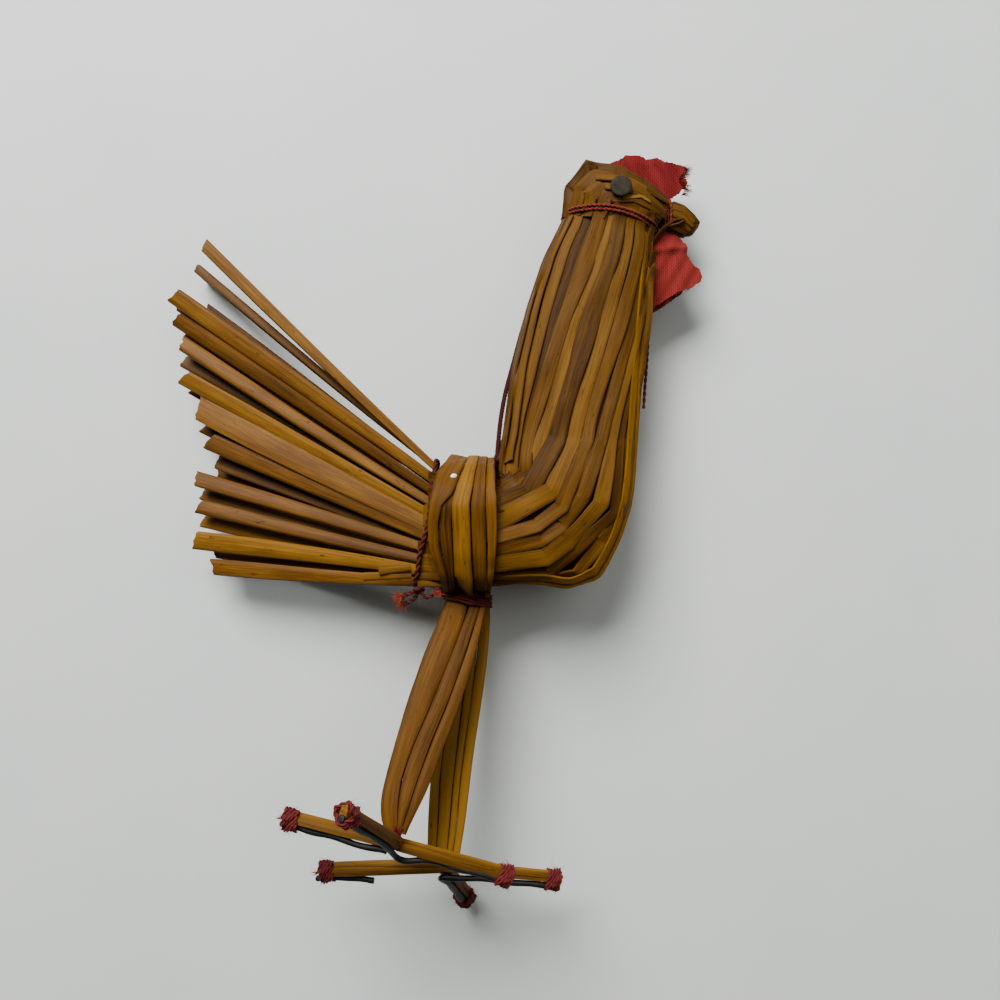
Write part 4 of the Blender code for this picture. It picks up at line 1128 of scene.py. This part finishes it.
def fuzz(bundle, path, diameter, count, rng, length=0.6):
    """Loose fibres standing off a thread."""
    for _ in range(count):
        k = rng.randrange(len(path))
        out = Vector((rng.uniform(-1, 1), rng.uniform(-1, 1), rng.uniform(-1, 1))).normalized()
        hair(bundle, path[k] + out * diameter * 0.4, out, length * rng.uniform(0.4, 1.2), rng)


def tuft(bundle, centre, way, count, rng, length=1.6, spread=0.5, thickness=0.09):
    """The frayed end of a thread."""
    for _ in range(count):
        out = way + Vector((rng.uniform(-1, 1), rng.uniform(-1, 1), rng.uniform(-1, 1))) * spread
        start = centre + Vector((rng.uniform(-1, 1), rng.uniform(-1, 1), rng.uniform(-1, 1))) * 0.25
        hair(bundle, start, out.normalized(), length * rng.uniform(0.5, 1.1), rng, thickness,
             rng.uniform(-0.1, 0.5))


def loop_round(middle, axis_a, axis_b, a, b, roundness, count):
    """Points round a rounded box spanned by two directions."""
    power = 2 / roundness
    points = []
    for k in range(count):
        turn = 2 * math.pi * k / count
        c, s = math.cos(turn), math.sin(turn)
        points.append(middle + axis_a * a * math.copysign(abs(c) ** power, c)
                      + axis_b * b * math.copysign(abs(s) ** power, s))
    return points


def make_head_threads():
    """Two turns of red thread under the head and three round the beak."""
    rng = random.Random(51)
    surface = surface_of("neck_head_and_body")
    bundle = Bundle()
    belly, back = Vector((33.6, 55.6, 7.8)), Vector((18.3, 58.5, 7.8))
    middle = (belly + back) / 2
    across = (back - belly).normalized()
    for turn in range(2):
        shift = Vector((0.12, 0.62, 0.0)) * (turn - 0.5)
        ring = []
        for k in range(56):
            angle = 2 * math.pi * k / 56
            out = across * math.cos(angle) + UP * math.sin(angle)
            arch = Vector((0.3, 1.4, 0.0)) * math.sin(angle) ** 2
            at = press(surface, middle + shift + arch + out * 20.0, -out)
            ring.append(at + out * (THREAD_DIAMETER * 0.5 + 0.3 + 0.5 * max(0.0, math.cos(angle))))
        ring = smooth_ring(ring, 2)
        fine = twisted(bundle, ring, THREAD_DIAMETER, rng, closed=True)
        fuzz(bundle, fine, THREAD_DIAMETER, 60, rng)
    bundle.make("head_threads", red_thread, ["head_thread"])
    bundle = Bundle()
    for turn in range(3):
        ring = []
        middle = Vector((35.9 + (turn - 1) * 0.55, 58.8, HEAD_Z))
        for k in range(36):
            angle = 2 * math.pi * k / 36
            out = Vector((0.0, math.cos(angle), math.sin(angle)))
            at = press(surface, middle + out * 15.0, -out)
            ring.append(at + out * (0.42 if turn != 1 else 0.5))
        fine = twisted(bundle, smooth_ring(ring, 1), 0.5, rng, closed=True)
        fuzz(bundle, fine, 0.5, 40, rng, 0.9)
    bundle.make("beak_threads", red_thread, ["beak_thread"])


def smooth_ring(points, width):
    count = len(points)
    result = []
    for k in range(count):
        window = [points[(k + j) % count] for j in range(-width, width + 1)]
        result.append(sum(window, Vector()) / len(window))
    return result


def make_waist_threads():
    """Four slanting turns of dark thread round the tied straws."""
    rng = random.Random(52)
    low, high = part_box("waist_thread")
    middle = (low + high) / 2 / MM
    middle.x += 0.3
    half_x = (high.x - low.x) / 2 / MM - 1.1
    half_z = (high.z - low.z) / 2 / MM - 0.2
    bundle = Bundle()
    path = []
    per_turn = 44
    for k in range(int(per_turn * 4.0) + 1):
        turn = 2 * math.pi * k / per_turn
        c, s = math.cos(turn), math.sin(turn)
        x = half_x * math.copysign(abs(c) ** 0.6, c)
        z = half_z * math.copysign(abs(s) ** 0.6, s)
        y = 0.95 - 0.48 * k / per_turn - 0.20 * x + 0.1 * math.sin(k * 0.7)
        path.append(middle + Vector((x, y, z)))
    fine = twisted(bundle, path, 0.56, rng, pitch=6.0)
    fuzz(bundle, fine, 0.56, 90, rng, 0.4)
    bundle.make("waist_threads", waist_thread, ["waist_thread"])


def make_tail_yarn():
    """The thick two-ply yarn round the tail root, its knot and its frayed ends."""
    rng = random.Random(53)
    bundle = Bundle()
    count = 40
    path = []
    for k in range(count + 1):
        turn = -0.5 * math.pi + 2 * math.pi * k / count
        c, s = math.cos(turn), math.sin(turn)
        y = 3.9 + 10.9 * math.copysign(abs(s) ** 0.42, s)
        x = value_at(YARN_LEVELS, YARN_PLACES, y)
        z = BODY_Z + 5.4 * math.copysign(abs(c) ** 0.42, c)
        path.append(Vector((x - 0.9 * max(0.0, 1 - 4 * k / count), y, z)))
    path = through(path)
    fine = twisted(bundle, path, YARN_DIAMETER, rng, pitch=2.6)
    fuzz(bundle, fine, YARN_DIAMETER, 70, rng, 0.7)
    knot = Vector((-7.8, -7.6, BODY_Z + 4.4))
    loops = loop_round(knot, Vector((1.0, 0.2, 0.0)), Vector((0.0, 0.5, 1.0)).normalized(), 0.8, 0.8,
                       2.0, 14)
    twisted(bundle, loops, 0.8, rng, closed=True, pitch=2.2)
    ends = (
        ((knot, Vector((-9.3, -8.2, 14.8)), Vector((-10.8, -8.7, 14.2))), 60),
        ((knot, Vector((-8.9, -9.4, 14.2)), Vector((-10.6, -10.2, 13.2))), 44),
        ((knot, Vector((-6.4, -8.9, 15.6)), Vector((-5.2, -8.3, 15.9))), 60),
    )
    frayed = Bundle()
    for points, hairs in ends:
        tail = through(points)
        twisted(bundle, tail, 0.8, rng, pitch=2.2)
        way = (tail[-1] - tail[-2]).normalized()
        tuft(frayed, tail[-1], way, hairs, rng, 1.7, 0.9, 0.12)
    frayed.make("frayed_yarn_ends", frayed_thread)
    bundle.make("tail_yarn_and_knot", yarn_red, ["tail_yarn"])


def make_nape_cord():
    """The dark twisted cord down the nape, and a thinner thread down the breast."""
    rng = random.Random(54)
    surface = surface_of("neck_head_and_body")
    bundle = Bundle()
    path = through([Vector(p) for p in NAPE_CORD])
    fine = twisted(bundle, path, 0.9, rng, plies=3, pitch=1.7)
    fuzz(bundle, fine, 0.9, 60, rng, 0.3)
    bundle.make("nape_twisted_cord", dark_thread, ["nape_cord"])
    bundle = Bundle()
    path = []
    for point in through([Vector(p) for p in BREAST_THREAD]):
        at = press(surface, point + Vector((20.0, 0.0, 0.0)), Vector((-1.0, 0.0, 0.0)))
        path.append(at + Vector((0.75, 0.0, 0.0)))
    fine = twisted(bundle, path, 0.6, rng, pitch=2.4)
    fuzz(bundle, fine, 0.6, 40, rng, 0.3)
    bundle.make("breast_thread", dark_thread)


def make_eyes():
    """Dark discs with a rounded rim, a little hollow in the middle."""
    for name in ("right_eye", "left_eye"):
        low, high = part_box(name)
        middle = (low + high) / 2 / MM
        sign = 1.0 if name == "right_eye" else -1.0
        normal = Vector((-0.1, 0.2, 0.97 * sign)).normalized()
        side = normal.cross(Vector((0.0, 1.0, 0.0))).normalized()
        over = side.cross(normal)
        profile = ((0.6, -0.25), (1.75, -0.25), (1.9, -0.1), (1.88, 0.08), (1.72, 0.21), (1.4, 0.25),
                   (0.9, 0.21), (0.4, 0.18), (0.05, 0.17))
        rings = []
        for radius, height in profile:
            rings.append([middle + normal * height
                          + (side * math.cos(2 * math.pi * k / 40) + over * math.sin(2 * math.pi * k / 40))
                          * radius for k in range(40)])
        bundle = Bundle()
        bundle.sweep(rings, [k * 0.3 for k in range(41)], [radius for radius, _ in profile], 0.0)
        bundle.make(name + "_disc", eye_dark, [name])


def cloth_sheet(bundle, outline, height, shade, thickness=0.16):
    """A woven piece cut to an outline in the xy plane, its edges following the yarns."""
    low_x, high_x = min(p[0] for p in outline), max(p[0] for p in outline)
    low_y, high_y = min(p[1] for p in outline), max(p[1] for p in outline)
    columns = int((high_x - low_x) / CLOTH_CELL) + 2
    rows = int((high_y - low_y) / CLOTH_CELL) + 2
    number = {}
    corners = []
    faces = []
    uvs = []

    def corner(i, j, top):
        key = (i, j, top)
        if key not in number:
            x, y = low_x + i * CLOTH_CELL, low_y + j * CLOTH_CELL
            z = height(x, y) + (thickness / 2 if top else -thickness / 2)
            number[key] = len(corners)
            corners.append(Vector((x, y, z)))
        return number[key]

    def cell_in(i, j):
        x, y = low_x + (i + 0.5) * CLOTH_CELL, low_y + (j + 0.5) * CLOTH_CELL
        return inside(outline, x, y)

    kept = {(i, j) for i in range(-1, columns) for j in range(-1, rows) if cell_in(i, j)}
    for i, j in sorted(kept):
        ring = ((i, j), (i + 1, j), (i + 1, j + 1), (i, j + 1))
        for top, order in ((True, ring), (False, ring[::-1])):
            faces.append(tuple(corner(a, b, top) for a, b in order))
            uvs += [(low_x + a * CLOTH_CELL, low_y + b * CLOTH_CELL) for a, b in order]
        for (a, b), (step_i, step_j) in zip(zip(ring, ring[1:] + ring[:1]),
                                            ((0, -1), (1, 0), (0, 1), (-1, 0))):
            if (i + step_i, j + step_j) not in kept:
                faces.append((corner(*b, True), corner(*a, True), corner(*a, False),
                              corner(*b, False)))
                uvs += [(low_x + p[0] * CLOTH_CELL, low_y + p[1] * CLOTH_CELL) for p in (b, a, a, b)]
    bundle.grid(corners, faces, uvs, shade)


def inside(outline, x, y):
    """True if the point is in the closed outline."""
    result = False
    for (ax, ay), (bx, by) in zip(outline, outline[1:] + outline[:1]):
        if (ay > y) != (by > y) and x < ax + (bx - ax) * (y - ay) / (by - ay):
            result = not result
    return result


def make_comb():
    """The comb: red cotton folded double over the crown, frayed at its front."""
    rng = random.Random(61)
    bundle = Bundle()
    outline = tuple((x + rng.uniform(-0.12, 0.12), y + rng.uniform(-0.12, 0.12))
                    for x, y in rounded(COMB_OUTLINE))
    for offset, shade in ((0.42, 0.1), (-0.42, -0.1)):
        def height(x, y, offset=offset):
            closing = min(1.0, max(0.0, (70.2 - y) / 2.0))
            return (HEAD_Z + offset * closing + 0.35 * math.sin(x * 1.1 + offset)
                    + 0.18 * math.sin(x * 2.3 + y * 1.4 + offset * 5))
        cloth_sheet(bundle, outline, height, shade)
    comb = bundle.make("cloth_comb", crimson_cloth, ["comb"], flat_angle=70)
    fringe = Bundle()
    for _ in range(170):
        share = rng.random()
        x = 39.3 + 0.5 * math.sin(share * 9.0)
        y = 62.6 + 5.2 * share
        start = Vector((x - 0.6, y, HEAD_Z + rng.uniform(-0.5, 0.6)))
        way = Vector((1.0, rng.uniform(-0.5, 0.3), rng.uniform(-0.4, 0.4)))
        hair(fringe, start, way, rng.uniform(0.6, 1.7), rng, 0.11, rng.uniform(-0.1, 0.4))
    for _ in range(110):
        share = rng.random()
        x = 27.5 + 11.5 * share
        y = 69.0 + 0.4 * math.sin(share * 12.0) - 1.2 * share
        start = Vector((x, y - 0.7, HEAD_Z + rng.uniform(-0.5, 0.5)))
        way = Vector((rng.uniform(-0.4, 0.4), 1.0, rng.uniform(-0.4, 0.4)))
        hair(fringe, start, way, rng.uniform(0.4, 1.0), rng, 0.08, rng.uniform(-0.1, 0.3))
    edge = fringe.make("comb_fringe", red_thread)


def rounded(outline, steps=5):
    """A closed smooth outline through the given corners."""
    points = [Vector(p) for p in outline]
    count = len(points)
    result = []
    for k in range(count):
        before, start = points[k - 1], points[k]
        end, after = points[(k + 1) % count], points[(k + 2) % count]
        for step in range(steps):
            t = step / steps
            at = between(before, start, end, after, t)
            result.append((at.x, at.y))
    return tuple(result)


def make_wattle():
    """The wattle: a piece of red cotton hanging from the throat, with its lower edge turned in."""
    rng = random.Random(62)
    bundle = Bundle()

    def front(x, y):
        fold = 0.55 * math.exp(-((y - 52.6 - 0.12 * (x - 36)) / 0.8) ** 2)
        return (HEAD_Z + 1.3 + 0.10 * (52 - y) + fold + 0.3 * math.sin(x * 0.9 + y * 0.25)
                + 0.12 * math.sin(x * 2.1 - y * 1.3))

    def under(x, y):
        return front(x, y) - 0.75 - 0.12 * (x - 34)

    outline = tuple((x + rng.uniform(-0.1, 0.1), y + rng.uniform(-0.1, 0.1))
                    for x, y in rounded(WATTLE_OUTLINE))
    cloth_sheet(bundle, outline, front, 0.15)
    # The turned-in edge is tinted darker than the front: painted shade under it
    cloth_sheet(bundle, rounded(UNDER_OUTLINE), under, -0.35)
    wattle = bundle.make("cloth_wattle", cloth, ["wattle"], flat_angle=70)
    fringe = Bundle()
    edges = (((42.0, 47.6), (40.2, 45.7)), ((40.2, 45.7), (37.8, 44.8)), ((37.8, 44.8), (35.6, 42.6)),
             ((35.6, 42.6), (32.0, 40.6)), ((40.8, 49.6), (42.0, 47.6)))
    for (ax, ay), (bx, by) in edges:
        for _ in range(26):
            share = rng.random()
            x, y = ax + (bx - ax) * share, ay + (by - ay) * share
            start = Vector((x - 0.3, y + 0.3, front(x, y) - rng.uniform(0.0, 0.7)))
            way = Vector((0.5 + rng.uniform(-0.5, 0.5), -0.8, rng.uniform(-0.3, 0.3)))
            hair(fringe, start, way, rng.uniform(0.4, 1.0), rng, 0.09, rng.uniform(-0.1, 0.3))
    edge = fringe.make("wattle_fringe", red_thread)


def make_foot(side_name):
    """Three toes of folded straw, their wound ties, and the two wires under them."""
    rng = random.Random(71 if side_name == "right" else 72)
    foot = {key: Vector(value) for key, value in FEET[side_name].items()}
    sole = (foot["middle"] - foot["sole_from"]).normalized()
    runs = {}
    for toe in ("front", "back", "outer"):
        along = (foot[toe] - foot["middle"]).normalized()
        length = (foot[toe] - foot["middle"]).length
        down = (sole - along * sole.dot(along)).normalized()
        side = along.cross(down)
        runs[toe] = (along, length, down)
        bundle = Bundle()
        far_back = side_name == "left" and toe == "back"
        start = TOE_STARTS[toe]
        count = 20
        stations = [start + (length - 0.3 - start) * k / (count - 1) for k in range(count)]
        for layer, width, thickness, shade in ((-0.42, 1.0, 1.3, rng.uniform(0.1, 0.4)),
                                                (0.34, 0.8, 1.1, rng.uniform(0.2, 0.6))):
            middles = []
            widths = []
            ups = []
            for distance in stations:
                share = max(0.0, distance / length)
                bulge = max(0.0, math.sin(math.pi * min(1.0, share * 1.02))) ** 0.5
                if far_back:
                    bulge += max(0.0, 0.9 - 1.4 * share)
                middles.append(foot["middle"] + along * distance - down * layer
                               + side * 0.25 * math.sin(share * 5 + layer * 4))
                widths.append(TOE_WIDTH * TOE_SHARES[side_name][toe] * width * (0.62 + 0.38 * bulge))
                ups.append(-down)
            flat_straw(bundle, middles, ups, widths, thickness, rng, shade, rng.uniform(-10, 10), 0.25)
        bundle.make(f"{side_name}_{toe}_toe_straws", leg_straw,
                    [f"{side_name}_{toe}_toe"])
        tie = Bundle()
        middle = foot["middle"] + along * (length - TIE_LENGTH / 2) + down * 0.35
        path = []
        for k in range(TIE_TURNS * 14 + 1):
            turn = 2 * math.pi * k / 14
            out = (side * math.cos(turn) + down * math.sin(turn)) * (1.55 + 0.22 * math.sin(k * 1.7))
            path.append(middle + along * TIE_LENGTH * 0.8 * (k / (TIE_TURNS * 14) - 0.5) + out
                        + along * 0.12 * math.sin(k * 0.9))
        fine = twisted(tie, path, 0.72, rng)
        fuzz(tie, fine, 0.72, 160, rng, 1.0)
        tuft(tie, path[-1], (path[-1] - middle).normalized() + along, 18, rng, 1.1, 0.7)
        if side_name == "right" and toe == "front":
            tuft(tie, Vector((-10.3, -44.9, 29.5)), Vector((0.1, -0.2, 1.0)), 130, rng, 1.5, 1.5, 0.14)
        tie.make(f"{side_name}_{toe}_toe_windings", toe_thread,
                 [f"{side_name}_{toe}_toe_tie"])

    def under(toe, distance):
        along, length, down = runs[toe]
        return foot["middle"] + along * distance + down * WIRE_DROPS[side_name][toe]

    low = foot["middle"] + sole * 2.1
    short = 0.2
    far = side_name == "left"
    routes = {
        "front_wire": (under("outer", runs["outer"][1] + (0.4 if far else -0.2)), under("outer", 9.0), under("outer", 5.0),
                       low, under("front", 5.0), under("front", 11.0),
                       under("front", runs["front"][1] - short)),
        "back_wire": (under("back", runs["back"][1] + (0.2 if far else -short)), under("back", 16.0),
                      under("back", 12.4 if far else 7.4) + sole * (0.7 if far else 0.2),
                      under("back", 11.8 if far else 1.9) + sole * (0.7 if far else 0.3)),
    }
    for name, points in routes.items():
        bundle = Bundle()
        path = through([Vector(p) for p in points])
        path = [p + Vector((0.0, 0.12 * math.sin(k * 0.8), 0.1 * math.sin(k * 0.6)))
                for k, p in enumerate(path)]
        rings = []
        for k, (at, (along, high, side)) in enumerate(zip(path, frames(path, UP))):
            near = max(0.0, 1 - (at - foot["outer"]).length / 9.0) if name == "front_wire" else 0.0
            size = WIRE_DIAMETER / 2 * (1 + 0.05 * math.sin(k * 1.3) + near * (0.6 if far else 0.2))
            rings.append([at + (high * math.cos(2 * math.pi * j / 12) + side * math.sin(2 * math.pi * j / 12))
                          * size for j in range(12)])
        rings = [[rings[0][0] * 0.4 + p * 0.6 - frames(path, UP)[0][0] * 0.2 for p in rings[0]]] + rings
        bundle.sweep(rings, [0.24 * j for j in range(13)], [STEP * k for k in range(len(rings))], 0.0)
        bundle.make(f"{side_name}_{name}_bent", iron, [f"{side_name}_{name}"])


def make_stubs():
    """Short flattened straw ends beside the tail root."""
    rng = random.Random(81)
    bundle = Bundle()
    for start, end, width in (
            (Vector((-9.0, -4.9, 16.3)), Vector((-17.3, -5.3, 15.6)), 1.5),
            (Vector((-9.0, -3.6, 16.9)), Vector((-14.6, -4.3, 16.4)), 1.4)):
        middles = [start.lerp(end, k / 8) + UP * 0.15 * math.sin(k * 0.8) for k in range(9)]
        flat_straw(bundle, middles, [UP] * 9, [width * (0.85 + 0.02 * k) for k in range(9)], 0.45, rng,
                   0.3, rng.uniform(-12, 12), 0.1)
    bundle.make("straw_stub_ends", straw, ["straw_stub"])


def make_painted_glint_bead():
    """A small bead on the saddle, painted near white as a highlight."""
    surface = surface_of("saddle_and_legs")
    bundle = Bundle()
    size = GLINT_BEAD_SIZE
    base = press(surface, Vector((*GLINT_BEAD_PLACE, 40.0)), DOWN) + UP * 0.15
    rings = []
    for share, rise in ((1.0, 0.0), (0.92, 0.12), (0.7, 0.22), (0.35, 0.28), (0.02, 0.3)):
        rings.append([base + Vector((math.cos(t) * size * 1.3 * share * (1 + 0.15 * math.sin(2 * t)),
                                     math.sin(t) * size * share, rise * size * 1.6))
                      for t in [2 * math.pi * k / 20 for k in range(20)]])
    bundle.sweep(rings, [0.1 * k for k in range(21)], [0.1 * k for k in range(5)], 0.0)
    bundle.make("painted_glint_bead", painted_glint)


def make_stage():
    """The pale floor, the soft lights and the camera straight above."""
    bm = bmesh.new()
    bmesh.ops.create_grid(bm, x_segments=8, y_segments=8, size=FLOOR_HALF)
    mesh = bpy.data.meshes.new("floor")
    bm.to_mesh(mesh)
    bm.free()
    floor = bpy.data.objects.new("floor", mesh)
    floor.data.materials.append(floor_material("floor"))
    bpy.context.scene.collection.objects.link(floor)
    world = bpy.data.worlds.new("studio")
    world.use_nodes = True
    world.node_tree.nodes["Background"].inputs["Color"].default_value = SKY
    world.node_tree.nodes["Background"].inputs["Strength"].default_value = SKY_STRENGTH
    bpy.context.scene.world = world
    for name, place, size, power in LAMPS:
        data = bpy.data.lights.new(name, "AREA")
        data.size = size
        data.energy = power
        lamp = bpy.data.objects.new(name, data)
        lamp.location = place
        lamp.rotation_mode = "QUATERNION"
        lamp.rotation_quaternion = (-Vector(place)).to_track_quat("-Z", "Y")
        bpy.context.scene.collection.objects.link(lamp)
    camera = bpy.data.cameras.new("camera")
    camera.sensor_width = 36.0
    camera.lens = 36.0 / 2 / (VIEW_HALF / CAMERA_RISE)
    camera.clip_start = 0.01
    eye = bpy.data.objects.new("camera", camera)
    eye.location = CAMERA_PLACE
    bpy.context.scene.collection.objects.link(eye)
    bpy.context.scene.camera = eye


straw = straw_material("sheaf_straw_finish", rgb(33, 16, 4), rgb(80, 51, 11), rgb(118, 82, 23))
leg_straw = straw_material("leg_straw_finish", rgb(40, 20, 4), rgb(90, 57, 12), rgb(128, 90, 25))
tail_straw = straw_material("tail_straw_finish", rgb(32, 16, 3), rgb(88, 55, 12), rgb(134, 94, 28),
                            shine=0.1)
# A darker copy of the straw for the inside of the sheaf: painted shade for the gaps between the outer straws
shaded_inner_straw = straw_material("inner_straw_painted_shade", rgb(22, 10, 4), rgb(44, 22, 7), rgb(70, 40, 12),
                             0.8, 0.05)
red_thread = thread_material("red_thread_finish", rgb(70, 20, 12), rgb(136, 56, 36))
dark_thread = thread_material("dark_thread_finish", rgb(40, 8, 7), rgb(84, 20, 14))
waist_thread = thread_material("waist_thread_finish", rgb(48, 10, 6), rgb(100, 24, 13))
yarn_red = thread_material("yarn_finish", rgb(44, 9, 7), rgb(92, 26, 16))
frayed_thread = thread_material("frayed_yarn_finish", rgb(104, 26, 14), rgb(176, 66, 32))
toe_thread = thread_material("toe_thread_finish", rgb(60, 12, 12), rgb(118, 34, 32))
crimson_cloth = cloth_material("comb_cloth_finish", rgb(52, 5, 7), rgb(97, 18, 19), rgb(118, 29, 28))
cloth = cloth_material("red_cloth_finish", rgb(58, 8, 8), rgb(104, 27, 23), rgb(124, 38, 33))
# A lighter copy of the straw for the breast straws: painted light on the side that faces away from the lamps
lit_breast_straw = straw_material("breast_straw_painted_light", rgb(46, 24, 4), rgb(112, 74, 14), rgb(160, 112, 28),
                            roughness=0.6, shine=0.0)
iron = iron_material("black_iron_finish")
eye_dark = eye_material("eye_finish")
# Near-white painted highlight for the small bead on the saddle
painted_glint = painted_glint_material("painted_glint_finish")

for is_right in (True, False):
    make_neck_side(is_right)
    make_head(is_right)
make_edge_straws()
make_inner_straws()
make_saddle()
make_leg("right_leg", RIGHT_LEG_STRAWS, RIGHT_LEG_LINE, 42, -0.1)
# The left leg is tinted much lighter: painted light against the shade that the body above casts on it
make_leg("left_leg", LEFT_LEG_STRAWS, LEFT_LEG_LINE, 43, 0.9)
make_tail()
make_head_threads()
make_waist_threads()
make_tail_yarn()
make_nape_cord()
make_eyes()
make_comb()
make_wattle()
for foot_name in ("right", "left"):
    make_foot(foot_name)
make_stubs()
# The small bead with its painted highlight
make_painted_glint_bead()
make_stage()
